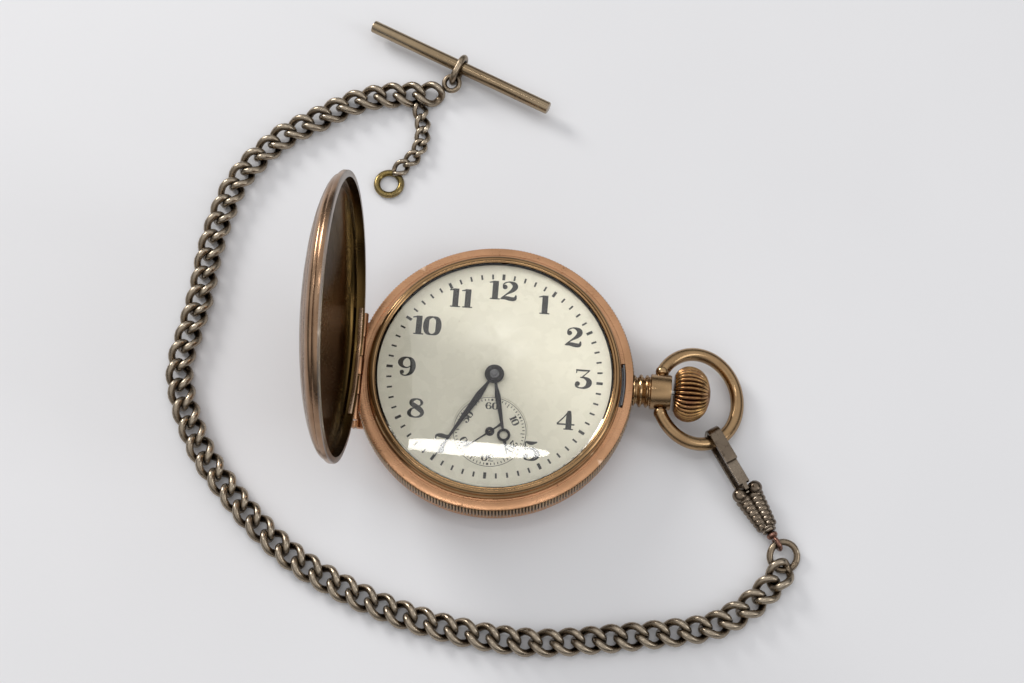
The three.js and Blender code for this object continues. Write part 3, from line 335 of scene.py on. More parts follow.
roseGoldLook = {
    "colour": (0.60, 0.33, 0.185), "second": (0.45, 0.245, 0.13), "dirtAndShade": (0.13, 0.065, 0.035),
    "edge": (0.84, 0.60, 0.42), "patchMm": 7.0, "speckMm": 1.6, "speckFrom": 0.64, "scratchMm": 0.7,
    "rough": (0.24, 0.38), "scratchDepthMm": 0.002, "edgeFrom": 0.60,
}
# the case's rose gold made darker for the bezel: painted shade
shadedBezelGoldLook = dict(roseGoldLook, colour=(0.40, 0.25, 0.125), second=(0.29, 0.175, 0.085),
                     edge=(0.74, 0.55, 0.33), rough=(0.10, 0.22), scratchDepthMm=0.0015, speckFrom=0.72)
# the bezel's darkened gold, darker still for the cover's inside: painted shade
shadedCoverInsideLook = dict(shadedBezelGoldLook, colour=(0.13, 0.08, 0.026), second=(0.085, 0.05, 0.016),
                       edge=(0.30, 0.17, 0.06), dirtAndShade=(0.04, 0.022, 0.01), patchMm=14.0,
                       rough=(0.16, 0.30))
# coin edge: painted shade in the grooves between ribs (hollowMm)
coinEdgeLook = dict(roseGoldLook, colour=(0.52, 0.35, 0.20), second=(0.38, 0.25, 0.14),
                    dirtAndShade=(0.05, 0.03, 0.015), hollowMm=0.4, hollowFrom=0.62)
# the case's rose gold made darker for the cover's outside: painted shade
shadedCoverOutsideLook = dict(roseGoldLook, colour=(0.38, 0.245, 0.155), second=(0.27, 0.165, 0.10),
                        edge=(0.60, 0.43, 0.30), dirtAndShade=(0.10, 0.055, 0.03), rough=(0.18, 0.30),
                        stretch=(1, 1, 1), scratchDepthMm=0.0016)
coverRimLook = dict(roseGoldLook, colour=(0.36, 0.29, 0.24), second=(0.27, 0.24, 0.22),
                    edge=(0.62, 0.54, 0.47), patchMm=6.0)
paleGoldLook = dict(roseGoldLook, colour=(0.43, 0.285, 0.15), second=(0.33, 0.21, 0.11),
                    edge=(0.72, 0.54, 0.33), patchMm=5.0, rough=(0.15, 0.30), scratchDepthMm=0.002)
# crown: painted shade in the flutes (hollowMm)
crownGoldLook = dict(paleGoldLook, colour=(0.52, 0.32, 0.12), second=(0.27, 0.13, 0.065), patchMm=3.0,
                     hollowMm=0.9, hollowFrom=0.55)
# old silver: painted shade and tarnish in the crevices between links (hollowMm), shared by the ring, clasp
# and swivel finishes
silverLook = {
    "colour": (0.30, 0.235, 0.165), "second": (0.185, 0.14, 0.097), "dirtAndShade": (0.042, 0.028, 0.017),
    "edge": (0.58, 0.51, 0.41), "patchMm": 5.0, "speckMm": 0.8, "speckFrom": 0.58, "scratchMm": 0.35,
    "rough": (0.20, 0.38), "scratchDepthMm": 0.004, "stretch": (1, 1, 1), "hollowMm": 1.3,
    "hollowFrom": 0.4,
}
barGiltLook = dict(silverLook, colour=(0.36, 0.27, 0.165), second=(0.27, 0.195, 0.12), rough=(0.18, 0.30),
                   scratchDepthMm=0.0012, speckFrom=0.66, hollowMm=0)
ringBrassLook = dict(silverLook, colour=(0.30, 0.21, 0.07), second=(0.17, 0.13, 0.05), hollowMm=0.6)
claspSilverLook = dict(silverLook, colour=(0.22, 0.175, 0.13), second=(0.13, 0.10, 0.075),
                       edge=(0.50, 0.43, 0.35), rough=(0.16, 0.32))
copperLook = dict(silverLook, colour=(0.24, 0.115, 0.08), second=(0.13, 0.065, 0.045),
                  edge=(0.50, 0.28, 0.22))
steelLook = {
    "colour": (0.50, 0.50, 0.49), "second": (0.40, 0.40, 0.40), "dirtAndShade": (0.14, 0.12, 0.10),
    "edge": (0.72, 0.72, 0.70), "patchMm": 4.0, "speckMm": 0.9, "speckFrom": 0.68, "scratchMm": 0.3,
    "rough": (0.16, 0.32), "scratchDepthMm": 0.002,
}
darkSteelLook = dict(steelLook, colour=(0.13, 0.13, 0.14), second=(0.09, 0.09, 0.10),
                     edge=(0.30, 0.30, 0.30))
bluedLook = dict(steelLook, colour=(0.010, 0.009, 0.010), second=(0.020, 0.018, 0.021),
                 edge=(0.05, 0.05, 0.055), dirtAndShade=(0.01, 0.01, 0.01), rough=(0.28, 0.42), patchMm=2.0)
wheelBrassLook = dict(steelLook, colour=(0.60, 0.45, 0.17), second=(0.50, 0.37, 0.14),
                      edge=(0.80, 0.66, 0.34))
nickelLook = dict(steelLook, colour=(0.66, 0.64, 0.58), second=(0.58, 0.57, 0.53),
                  edge=(0.80, 0.79, 0.74), patchMm=1.6, stretch=(1, 12, 1), scratchDepthMm=0.004)

roseGold = metal("roseGold", roseGoldLook)
shadedBezelGold = metal("shadedBezelGold", shadedBezelGoldLook)
shadedCoverInside = metal("shadedCoverInsideGold", shadedCoverInsideLook)
coinGold = metal("coinEdgeGold", coinEdgeLook)
shadedCoverOutside = metal("shadedCoverOutsideGold", shadedCoverOutsideLook)
coverRim = metal("coverRimWorn", coverRimLook)
paleGold = metal("paleGold", paleGoldLook)
crownGold = metal("crownGold", crownGoldLook)
oldSilver = metal("oldSilver", silverLook)
barGilt = metal("barGilt", barGiltLook)
ringBrass = metal("ringBrass", ringBrassLook)
copper = metal("wornCopper", copperLook)
claspSilver = metal("claspSilver", claspSilverLook)
steel = metal("steel", steelLook)
darkSteel = metal("darkSteel", darkSteelLook)
bluedSteel = metal("bluedSteel", bluedLook)
wheelBrass = metal("wheelBrass", wheelBrassLook)
nickel = metal("nickel", nickelLook)

enamelLook = {
    "colour": (0.74, 0.715, 0.60), "second": (0.725, 0.70, 0.585), "patchMm": 16.0, "speckMm": 0.5,
    "speck": (0.45, 0.40, 0.30), "rippleMm": 3.0, "rippleDepthMm": 0.004,
}


def enamelMaterial(look):
    mat, nodes, links, shader, where = startMaterial("enamel")
    patches = ramp(nodes, links, noise(nodes, links, where, look["patchMm"]), [(0.3, 0.0), (0.7, 1.0)])
    colour = blendColours(nodes, links, patches, look["colour"], look["second"])
    specks = ramp(nodes, links, noise(nodes, links, where, look["speckMm"], 2.0),
                  [(0.76, 0.0), (0.80, 1.0)])
    links.new(blendColours(nodes, links, specks, colour, look["speck"]), shader.inputs["Base Color"])
    ripple = noise(nodes, links, where, look["rippleMm"], 2.0)
    links.new(ramp(nodes, links, ripple, [(0.3, 0.22), (0.7, 0.32)]), shader.inputs["Roughness"])
    bump(nodes, links, shader, ripple, look["rippleDepthMm"])
    return mat


enamel = enamelMaterial(enamelLook)
inkLook = {"colour": (0.006, 0.006, 0.006), "second": (0.016, 0.015, 0.014), "grainMm": 0.35}


def inkMaterial(look):
    mat, nodes, links, shader, where = startMaterial("dialInk")
    grain = noise(nodes, links, where, look["grainMm"], 3.0)
    tone = ramp(nodes, links, grain, [(0.35, look["colour"]), (0.7, look["second"])])
    links.new(tone, shader.inputs["Base Color"])
    links.new(ramp(nodes, links, grain, [(0.3, 0.30), (0.7, 0.45)]), shader.inputs["Roughness"])
    return mat


ink = inkMaterial(inkLook)
crystalLook = {"tint": (0.99, 0.985, 0.965), "smudgeMm": 5.0, "rough": (0.01, 0.03)}


def crystalMaterial(look):
    mat, nodes, links, shader, where = startMaterial("crystalGlass")
    shader.inputs["Transmission Weight"].default_value = 1.0
    shader.inputs["IOR"].default_value = 1.47
    shader.inputs["Base Color"].default_value = (*look["tint"], 1)
    smudge = noise(nodes, links, where, look["smudgeMm"], 4.0)
    low, high = look["rough"]
    links.new(ramp(nodes, links, smudge, [(0.5, low), (0.75, high)]), shader.inputs["Roughness"])
    clear = nodes.new("ShaderNodeBsdfTransparent")
    pathKind = nodes.new("ShaderNodeLightPath")  # light reaches the dial straight through the glass
    mix = nodes.new("ShaderNodeMixShader")
    links.new(pathKind.outputs["Is Shadow Ray"], mix.inputs[0])
    links.new(shader.outputs[0], mix.inputs[1])
    links.new(clear.outputs[0], mix.inputs[2])
    links.new(mix.outputs[0], nodes["Material Output"].inputs["Surface"])
    return mat


crystalGlass = crystalMaterial(crystalLook)
print("finishes made")

# curb chain
chainLook = {
    "route": [
        (52.98, -30.77), (52.8, -31.6), (48.9, -36.2), (44.1, -39.8), (39.4, -41.8), (29.0, -43.8),
        (13.3, -46.2), (4.5, -46.2), (-4.4, -45.1), (-13.4, -43.0), (-22.6, -39.7), (-32.1, -35.0),
        (-39.9, -29.1), (-46.0, -23.0), (-51.3, -16.8), (-54.9, -10.4), (-57.4, -3.8), (-58.0, 1.0),
        (-57.4, 5.0), (-56.6, 10.1), (-55.9, 15.1), (-55.6, 20.2), (-55.1, 25.3), (-54.1, 30.6),
        (-52.4, 36.9), (-49.2, 42.4), (-44.1, 48.1), (-38.7, 51.7), (-32.3, 55.8), (-26.8, 57.9),
        (-22.0, 58.6), (-17.4, 59.1),
    ],
    "height": 1.66,
    "pitch": 3.75,
    "wire": 0.69,
    "halfWidth": 1.93,
    "twist": 60,
    "firstAt": 0.35,
    "jitter": 7,
    "width": 5.4,
}
dropLook = {
    "route": [(-18.6, 55.2), (-17.8, 51.1), (-18.6, 46.7), (-21.3, 43.4)],
    "height": 1.05,
    "pitch": 2.55,
    "wire": 0.46,
    "halfWidth": 1.12,
    "twist": 60,
    "firstAt": -0.4,
    "jitter": 14,
    "ringCentre": (-23.3, 40.1, 0.62),
    "ringRadius": 2.3,
    "ringWire": 0.62,
}


def linkShape(look, rng):
    # an oval of wire whose two ends are twisted opposite ways, so that the links lie flat in each other
    half = look["pitch"] / 2 + look["wire"]
    steps = 28
    route = []
    for i in range(steps):
        a = 2 * math.pi * i / steps
        across = look["halfWidth"] * math.sin(a)
        turn = math.radians(look["twist"]) * math.cos(a)
        route.append((half * math.cos(a), across * math.cos(turn), across * math.sin(turn)))
    return wire(route, look["wire"] * rng.uniform(0.97, 1.02), closed=True, sides=12)


def curbLinks(look, seed):
    rng = random.Random(seed)
    line = smooth([(x, y, look["height"]) for x, y in look["route"]], 24)
    lengths = [0.0]
    for a, b in zip(line, line[1:]):
        lengths.append(lengths[-1] + (b - a).length)

    def pointAt(s):
        if s < 0:
            return line[0] + (line[1] - line[0]).normalized() * s
        for k in range(1, len(line)):
            if lengths[k] >= s:
                t = (s - lengths[k - 1]) / max(lengths[k] - lengths[k - 1], 1e-9)
                return line[k - 1].lerp(line[k], t)
        return line[-1] + (line[-1] - line[-2]).normalized() * (s - lengths[-1])

    count = round((lengths[-1] - look["firstAt"]) / look["pitch"])
    pitch = (lengths[-1] - look["firstAt"]) / count
    shapes = []
    for i in range(count + 1):
        s = look["firstAt"] + pitch * i
        way = (pointAt(s + pitch / 2) - pointAt(s - pitch / 2)).normalized()
        side = up.cross(way).normalized()
        turn = Matrix((way, side, way.cross(side))).transposed().to_4x4()
        roll = rotation(rng.uniform(-1, 1) * look["jitter"], "X")
        shapes.append(moved(linkShape(look, rng), Matrix.Translation(pointAt(s)) @ turn @ roll))
    return shapes, lengths[-1]


chainShapes, chainLength = curbLinks(chainLook, 5)
curbChain = piece("curbChain", chainShapes, oldSilver, "chain_side", "old_silver", ["chain"])
dropShapes = curbLinks(dropLook, 9)[0]
dropChain = piece("dropChain", dropShapes, oldSilver, "chain_side", "old_silver", ["drop_chain"])


def roundLoop(radius, wireRadius, steps=48, sides=16):
    return wire([(*polar(radius, 360 * i / steps), 0) for i in range(steps)], wireRadius, closed=True,
                sides=sides)


dropRing = piece("dropRing", [moved(roundLoop(dropLook["ringRadius"], dropLook["ringWire"]),
                                    Matrix.Translation(dropLook["ringCentre"]))],
                 ringBrass, "chain_side", "brass", ["drop_ring"])
print("chain made:", len(chainShapes), "links,", round(chainLength, 1), "mm")

# T-bar
barLook = {"centre": (-11.7, 64.8, 2.85), "angle": -23.4, "radius": 1.2, "length": 38.3, "endRound": 0.22}
loopLook = {"halfLength": 2.65, "halfWidth": 1.95, "wire": 0.6, "tilt": 12, "shift": 0.73}
linkLook = {"radius": 1.45, "wire": 0.5, "shift": 3.65}
barPlace = Matrix.Translation(barLook["centre"]) @ rotation(barLook["angle"], "Z")


def tiltedPlace(shift):
    tilt = math.radians(loopLook["tilt"])
    return (barPlace @ Matrix.Translation((0, -shift * math.cos(tilt), -shift * math.sin(tilt)))
            @ Matrix.Rotation(tilt, 4, "X"))


def barShape(look):
    half, r, e = look["length"] / 2, look["radius"], look["endRound"]
    profile = [(0, -half), (r - e, -half), (r - e * 0.3, -half + e * 0.3), (r, -half + e),
               (r, 0), (r, half - e), (r - e * 0.3, half - e * 0.3), (r - e, half), (0, half)]
    return moved(lathe(profile, 48, closed=False), barPlace @ rotation(90, "Y"))


def ovalLoop(look):
    route = []
    steps = 56
    straight = look["halfLength"] - look["halfWidth"]
    for i in range(steps):
        y, z = polar(look["halfWidth"], 360 * (i + 0.5) / steps)
        route.append((0, y + math.copysign(straight, y), z))
    return wire(route, look["wire"] * 1.03, closed=True)


tBar = piece("tBar", [barShape(barLook)], barGilt, "t_bar", "t_bar_gilt", ["t_bar"])
tBarLoop = piece("tBarLoop", [moved(ovalLoop(loopLook), tiltedPlace(loopLook["shift"]))],
                 oldSilver, "t_bar", "old_silver", ["t_bar_loop"])
tBarLink = piece("tBarLink", [moved(roundLoop(linkLook["radius"], linkLook["wire"], 36, 14),
                                    tiltedPlace(linkLook["shift"]))],
                 oldSilver, "chain_side", "old_silver", ["t_bar_link"])
print("T-bar made")

# swivel clasp
claspLook = {
    "place": (40.827, -7.208, 0), "angle": -57.5, "width": 2.3, "wall": 0.75, "front": -1.55, "bend": 1.2,
    "top": 5.4, "floor": 0.1, "noseEnd": 5.0, "pivot": 10.9, "end": 19.2, "axisHeight": 2.1,
    "pinHeight": 2.9, "ball": 1.35, "spread": 1.55, "pinHalf": 2.5, "pinRadius": 0.3,
    "ribs": 7, "ribbedRadius": 1.62, "taper": 0.42, "groove": 0.22, "halfApart": 1.12, "squash": 0.92,
}
claspPlace = Matrix.Translation(claspLook["place"]) @ rotation(claspLook["angle"], "Z")


def sideways(outline, halfWidth):
    # outline in the clasp's length and height, with its width across
    return moved(plate(outline, -halfWidth, halfWidth), rotation(90, "X"))


def hookShape(look):
    steps = 12
    middle = look["top"] - look["bend"] - look["wall"]
    base = look["floor"] + look["bend"] + look["wall"]

    def corner(radius, centreZ, fromDeg):
        arc = [polar(radius, fromDeg + 90 * i / steps) for i in range(steps + 1)]
        return [(look["front"] + look["bend"] + x, centreZ + z) for x, z in arc]

    outer = corner(look["bend"] + look["wall"], middle, 90) + corner(look["bend"] + look["wall"], base,
                                                                     180)
    inner = corner(look["bend"], middle, 90) + corner(look["bend"], base, 180)
    tail = look["pivot"] + 1.2
    outline = [(look["noseEnd"], look["top"] - look["wall"]), (look["noseEnd"], look["top"])] + outer
    outline += [(tail, look["floor"]), (tail, look["floor"] + look["wall"])] + inner[::-1]
    return sideways(outline, look["width"] / 2)


def ribbedHalf(look, side):
    # one of the clasp's two tapered halves, ringed with fine ribs
    start, end = look["pivot"] + 0.6, look["end"] - 0.9
    profile = [(0, start)]
    rows = look["ribs"] * 6
    for i in range(rows + 1):
        t = i / rows
        body = look["ribbedRadius"] - look["taper"] * t
        groove = look["groove"] * abs(math.sin(math.pi * look["ribs"] * t)) ** 0.45
        profile.append((body - look["groove"] + groove, start + (end - start) * t))
    profile.append((0, end))
    tilt = -side * math.degrees(math.atan(look["taper"] / (end - start)))
    place = (Matrix.Translation((start, side * look["halfApart"], look["axisHeight"]))
             @ rotation(tilt, "Z") @ rotation(90, "Y")
             @ Matrix.Translation((0, 0, -start)))
    squash = Matrix.Diagonal((look["squash"], 1.0, 1.0, 1.0))  # a little flatter than round
    return moved(lathe(profile, 28, closed=False), place @ squash)


def claspCollar(look):
    x = look["end"]
    profile = [(0, x - 1.3), (1.3, x - 1.2), (1.5, x - 0.95), (1.5, x - 0.7), (1.25, x - 0.55),
               (1.32, x - 0.35), (1.22, x - 0.1), (0.95, x), (0, x)]
    return moved(lathe(profile, 32, closed=False),
                 Matrix.Translation((0, 0, look["axisHeight"])) @ rotation(90, "Y"))


def claspShapes(look):
    shapes = [hookShape(look), claspCollar(look)]
    for side in (-1, 1):
        shapes.append(ribbedHalf(look, side))
        shapes.append(ball((look["pivot"], side * look["spread"], look["pinHeight"]), look["ball"]))
        y0, y1 = sorted((side * 0.55, side * 1.7))
        shapes.append(box(look["pivot"] - 0.2, look["pivot"] + 1.5, y0, y1, 0.5, 3.2))
    return [moved(shape, claspPlace) for shape in shapes]


def gateShape(look):
    top = look["top"] - look["wall"] - 0.05
    outline = [(4.4, top - 0.6), (4.4, top), (9.5, top), (10.7, top - 0.35), (10.9, top - 1.2),
               (10.2, top - 1.5), (9.7, top - 0.6)]
    return [moved(sideways(outline[:3] + [outline[-1]], look["width"] / 2 - 0.1), claspPlace),
            moved(sideways([(x, z - 0.04) for x, z in outline], 0.42), claspPlace)]


def pinShape(look):
    ends = [(look["pivot"], side * look["pinHalf"], look["pinHeight"]) for side in (-1, 1)]
    return moved(rod(*ends, look["pinRadius"]), claspPlace)


def swivelShapes(look):
    h = look["axisHeight"]
    eyeAt = look["end"] + 2.35
    stem = [(0, look["end"] - 2.4), (0.45, look["end"] - 2.4), (0.45, look["end"] + 0.1),
            (0.8, look["end"] + 0.14), (1.02, look["end"] + 0.45), (1.02, look["end"] + 0.8),
            (0.8, look["end"] + 1.1), (0.45, look["end"] + 1.25), (0.42, eyeAt - 1.1), (0, eyeAt - 1.1)]
    turned = moved(lathe(stem, 28, closed=False),
                   Matrix.Translation((0, 0, h)) @ rotation(90, "Y"))
    eye = moved(roundLoop(1.12, 0.42, 32, 12),
                Matrix.Translation((eyeAt, 0, h)) @ rotation(90, "X"))
    return [moved(shape, claspPlace) for shape in (turned, eye)]


ringLook = {"radius": 2.5, "wire": 0.6, "reach": 21.55}
ringTilt = math.asin((claspLook["axisHeight"] - ringLook["wire"]) / (2 * ringLook["radius"]))
ringCentre = (ringLook["reach"] + ringLook["radius"] * math.cos(ringTilt), 0,
              claspLook["axisHeight"] - ringLook["radius"] * math.sin(ringTilt))
ringPlace = claspPlace @ Matrix.Translation(ringCentre) @ Matrix.Rotation(ringTilt, 4, "Y")
piece("claspBody", claspShapes(claspLook), claspSilver, "clasp", "old_silver", ["clasp_body"],
      bevel=0.32, bevelSteps=4)
piece("claspGate", gateShape(claspLook), claspSilver, "clasp_gate", "old_silver", ["clasp_gate"],
      bevel=0.16, bevelSteps=3)
piece("claspPin", [pinShape(claspLook)], oldSilver, "clasp", "old_silver", ["clasp_pin"])
piece("claspSwivel", swivelShapes(claspLook), copper, "chain_side", "old_silver", ["clasp_swivel"])
piece("claspRing", [moved(roundLoop(ringLook["radius"], ringLook["wire"]), ringPlace)],
      oldSilver, "chain_side", "old_silver", ["clasp_ring"])

# bow, pendant and crown
bowLook = {"pivot": (30.2, 0, 6.5), "droop": 18.5, "halfLength": 7.9, "halfWidth": 8.5, "wire": 1.2,
           "gap": 3.9, "boss": [(0, 0), (0.95, 0), (1.18, 0.18), (1.24, 0.6), (1.16, 1.1), (0.85, 1.5),
                                (0, 1.62)],
           "bossAt": 3.32, "screwRadius": 0.7, "screwFrom": 2.15, "screwTo": 3.6}
bowPlace = Matrix.Translation(bowLook["pivot"]) @ rotation(bowLook["droop"], "Y")


def bowShapes(look):
    start = math.asin(look["gap"] / look["halfWidth"])
    reach = look["halfLength"] * math.cos(start)
    steps = 72
    route, radii = [], []
    for i in range(steps + 1):
        a = math.pi - start - 2 * (math.pi - start) * i / steps
        route.append((reach + look["halfLength"] * math.cos(a), look["halfWidth"] * math.sin(a), 0))
        ends = min(i, steps - i) / steps
        radii.append(look["wire"] * (0.97 + 0.05 * min(1, ends * 4)))
    shapes = [wire(route, radii, sides=20)]
    for side in (-1, 1):
        place = Matrix.Translation((0, side * look["bossAt"], 0)) @ rotation(-90 * side, "X")
        shapes.append(moved(lathe(look["boss"], 28, closed=False), place))
        shapes.append(rod((0, side * look["screwFrom"], 0), (0, side * look["screwTo"], 0),
                          look["screwRadius"]))
    return [moved(shape, bowPlace) for shape in shapes]


piece("bow", bowShapes(bowLook), paleGold, "bow", "pale_gold", ["bow"])

pendantLook = {
    "profile": [
        (0.72, 25.06), (2.72, 25.06), (2.8, 25.2), (2.72, 25.38), (2.42, 25.55), (2.36, 25.75),
        (2.5, 25.95), (2.86, 26.1), (3.0, 26.35), (2.86, 26.62), (2.5, 26.78), (2.38, 26.95),
        (2.5, 27.12), (2.84, 27.26), (3.0, 27.5), (2.86, 27.76), (2.62, 27.9), (2.64, 28.05),
        (3.02, 28.14), (3.2, 28.28), (3.2, 31.68), (3.1, 31.88), (2.02, 31.9), (2.0, 26.2), (0.72, 26.1),
    ],
}
piece("pendant", [moved(lathe(pendantLook["profile"], 96), aboutStem)], paleGold, "case", "pale_gold",
      ["pendant"])
crownLook = {"start": 32.45, "length": 6.55, "radius": 5.05, "flutes": 34, "depth": 0.55}


def crownShape(look):
    x0, length, r = look["start"], look["length"], look["radius"]
    outline = smooth([(r * 0.64, x0, 0), (r * 0.83, x0 + length * 0.09, 0),
                      (r * 0.96, x0 + length * 0.24, 0), (r, x0 + length * 0.4, 0),
                      (r * 0.965, x0 + length * 0.57, 0), (r * 0.85, x0 + length * 0.74, 0),
                      (r * 0.63, x0 + length * 0.89, 0), (r * 0.34, x0 + length * 0.975, 0)], 6)
    profile = [(0, x0 + 1), (1.8, x0 + 1), (1.8, x0 + 0.02), (r * 0.66, x0)]
    profile += [(p.x, p.y) for p in outline] + [(r * 0.2, x0 + length), (0, x0 + length)]

    def flute(a, radius, z):
        if z < x0 + 0.03 or radius < 1.9:
            return 0
        ridge = abs(math.sin(look["flutes"] * a / 2)) ** 0.8
        return -look["depth"] * (1 - ridge) * (radius / look["radius"]) ** 1.2

    return moved(lathe(profile, look["flutes"] * 12, closed=False, wave=flute), aboutStem)


piece("crown", [crownShape(crownLook)], crownGold, "crown", "rose_gold", ["crown"], angle=60)
print("bow, pendant and crown made")

# case
caseLook = {
    "radius": 25.0, "bandBottom": 4.55, "bandTop": 8.7, "ribs": 264, "ribDepth": 0.36, "ribLow": 4.95,
    "ribHigh": 8.42, "hingeX": -24.4, "frontHingeZ": 9.05, "backHingeZ": 4.25, "knuckleRadius": 0.74,
    "knuckleRoom": 0.86, "slotHalf": 10.3, "slotInner": 21.4, "slotOuter": 23.65, "stemHole": 0.7,
}
knuckleEnds = [-10.2, -5.5, -1.8, 1.8, 5.5, 10.2]


def knuckle(index, z):
    # a hinge tube with eased ends
    look = caseLook
    low, high = knuckleEnds[index] + 0.05, knuckleEnds[index + 1] - 0.05
    r, e = look["knuckleRadius"], 0.12
    profile = [(0.34, 0), (r - e, 0), (r - e * 0.3, e * 0.3), (r, e), (r, high - low - e),
               (r - e * 0.3, high - low - e * 0.3), (r - e, high - low), (0.34, high - low)]
    place = Matrix.Translation((look["hingeX"], low, z)) @ rotation(-90, "X")
    return moved(lathe(profile, 32), place)


def bandShape(look):
    r, low, high = look["radius"], look["bandBottom"], look["bandTop"]
    return lathe([
        (r - 0.22, low), (r - 0.04, low + 0.08), (r, low + 0.16), (r - 0.02, look["ribLow"] - 0.12),
        (r - 0.34, look["ribLow"]), (r - 0.34, look["ribHigh"]), (r - 0.03, look["ribHigh"] + 0.1),
        (r, high - 0.12), (r - 0.06, high - 0.03), (r - 0.2, high), (r - 0.9, high),
        (r - 1.3, high - 0.03), (r - 1.34, high - 0.12), (r - 1.7, high - 0.13), (r - 1.74, high - 0.02),
        (21.95, high), (21.9, high - 0.08), (21.9, high - 0.7), (22.9, high - 0.7),
        (22.9, 6.1), (20.6, 6.1), (20.6, 5.5), (22.9, 5.5), (22.9, low),
    ], 288)


def cutAway(obj, shapes):
    # takes each shape's room out of the piece, once and for all
    for shape in shapes:
        tool = makeObject("tool", [shape], [])
        op = obj.modifiers.new("room", "BOOLEAN")
        op.object = tool
        op.solver = "EXACT"
        bpy.context.view_layer.update()
        done = bpy.data.meshes.new_from_object(obj.evaluated_get(bpy.context.evaluated_depsgraph_get()))
        obj.modifiers.remove(op)
        obj.data = done
        bpy.data.objects.remove(tool)
    obj.data.shade_smooth()
    obj.data.set_sharp_from_angle(angle=math.radians(32))


def hingeRoom(start, end, z):
    # the room along a hinge that the other leaf's knuckles turn in
    x = caseLook["hingeX"]
    return rod((x, start, z), (x, end, z), caseLook["knuckleRoom"])


def arcPlate(inner, outer, halfSpan, z0, z1):
    steps = 24
    edge = [-halfSpan + 2 * halfSpan * i / steps for i in range(steps + 1)]
    return plate([polar(outer, a) for a in edge] + [polar(inner, a) for a in edge[::-1]], z0, z1)


caseBand = piece("caseBand", [bandShape(caseLook)], roseGold, "case", "rose_gold", ["case_band"])
cutAway(caseBand, [
    arcPlate(caseLook["slotInner"], caseLook["slotOuter"], caseLook["slotHalf"], 6.8, 9.5),
    rod((19, 0, stemHeight), (26, 0, stemHeight), caseLook["stemHole"]),
])
piece("caseHinges", [knuckle(i, z) for z in (caseLook["frontHingeZ"],
                                             caseLook["backHingeZ"]) for i in (1, 3)],
      roseGold, "case", "rose_gold")


def coinEdge(look):
    # upright ribs round the band
    def rib(a, r, z):
        if r < look["radius"] - 0.24:
            return 0
        return look["ribDepth"] * (abs(math.cos(look["ribs"] * a / 2)) ** 0.9 - 1)

    top, low, r = look["ribHigh"], look["ribLow"], look["radius"] + 0.20
    return lathe([(r - 0.5, low), (r - 0.06, low + 0.02), (r, low + 0.14), (r, top - 0.14),
                  (r - 0.06, top - 0.02), (r - 0.5, top)], look["ribs"] * 6, wave=rib)


piece("coinEdge", [coinEdge(caseLook)], coinGold, "case", "rose_gold", angle=70)
lockSpringLook = {
    "lip": (23.2, 23.55, 9.5, 6.95, 9.02),  # inner and outer radius, half its span in degrees, bottom, top
    "arm": (22.15, 23.3, 9.5, 6.95, 7.5),
    "spring": (22.1, 22.5, 38, 6.3, 7.6),
}
piece("lockSpring", [arcPlate(*sizes) for sizes in lockSpringLook.values()],
      darkSteel, "lock_spring", "steel", ["lock_spring"], bevel=0.06)

coverLook = {
    "rim": 8.75,
    "openAngle": 93,
    "profile": [
        (23.78, 0.0, 1), (24.55, 0.0, 1), (24.82, 0.1, 1), (24.93, 0.3, 0), (24.93, 0.95, 0),
        (24.8, 1.18, 0), (24.45, 1.28, 0), (24.3, 1.42, 0), (24.32, 1.62, 0), (24.2, 1.95, 0),
        (23.85, 2.3, 0), (23.35, 2.62, 0), (22.7, 2.95, 0), (22.45, 2.98, 0), (22.1, 3.2, 0),
        (21.0, 3.62, 0), (19.0, 4.2, 0), (16.0, 4.82, 0), (12.5, 5.28, 0), (9.0, 5.55, 0), (5.0, 5.7, 0),
        (0.0, 5.74, 2), (0.0, 5.24, 2), (5.0, 5.19, 2), (9.0, 5.03, 2), (12.5, 4.76, 2), (16.0, 4.3, 2),
        (18.8, 3.75, 2), (20.8, 3.18, 2), (22.0, 2.6, 2), (22.5, 2.12, 2), (22.62, 1.85, 2),
        (22.95, 1.75, 2), (23.4, 1.66, 2), (23.66, 1.45, 2), (23.75, 1.1, 2), (23.76, 0.2, 2),
    ],
}
coverPlace = (Matrix.Translation((caseLook["hingeX"], 0, caseLook["frontHingeZ"]))
              @ rotation(-coverLook["openAngle"], "Y")
              @ Matrix.Translation((-caseLook["hingeX"], 0, -caseLook["frontHingeZ"])))


def frontCoverShapes(look):
    dish = lathe([(r, z + look["rim"], m) for r, z, m in look["profile"]], 240)
    x = caseLook["hingeX"]
    reach = polar(23.5, math.degrees(math.asin(10.15 / 23.5)))[0]
    strap = plate([(x - 0.1, -10.1), (-reach, -10.1), (-23.2, -4.5), (-23.4, 0), (-23.2, 4.5),
                   (-reach, 10.1), (x - 0.1, 10.1)], 9.0, 9.78)
    leaf = plate([(-23.9, -7.6), (-22.9, -7.4), (-22.9, 7.4), (-23.9, 7.6)], 9.5, 11.6)
    return dish, [strap, (leaf[0], leaf[1], [3] * len(leaf[1]))]  # the leaf takes the fourth finish


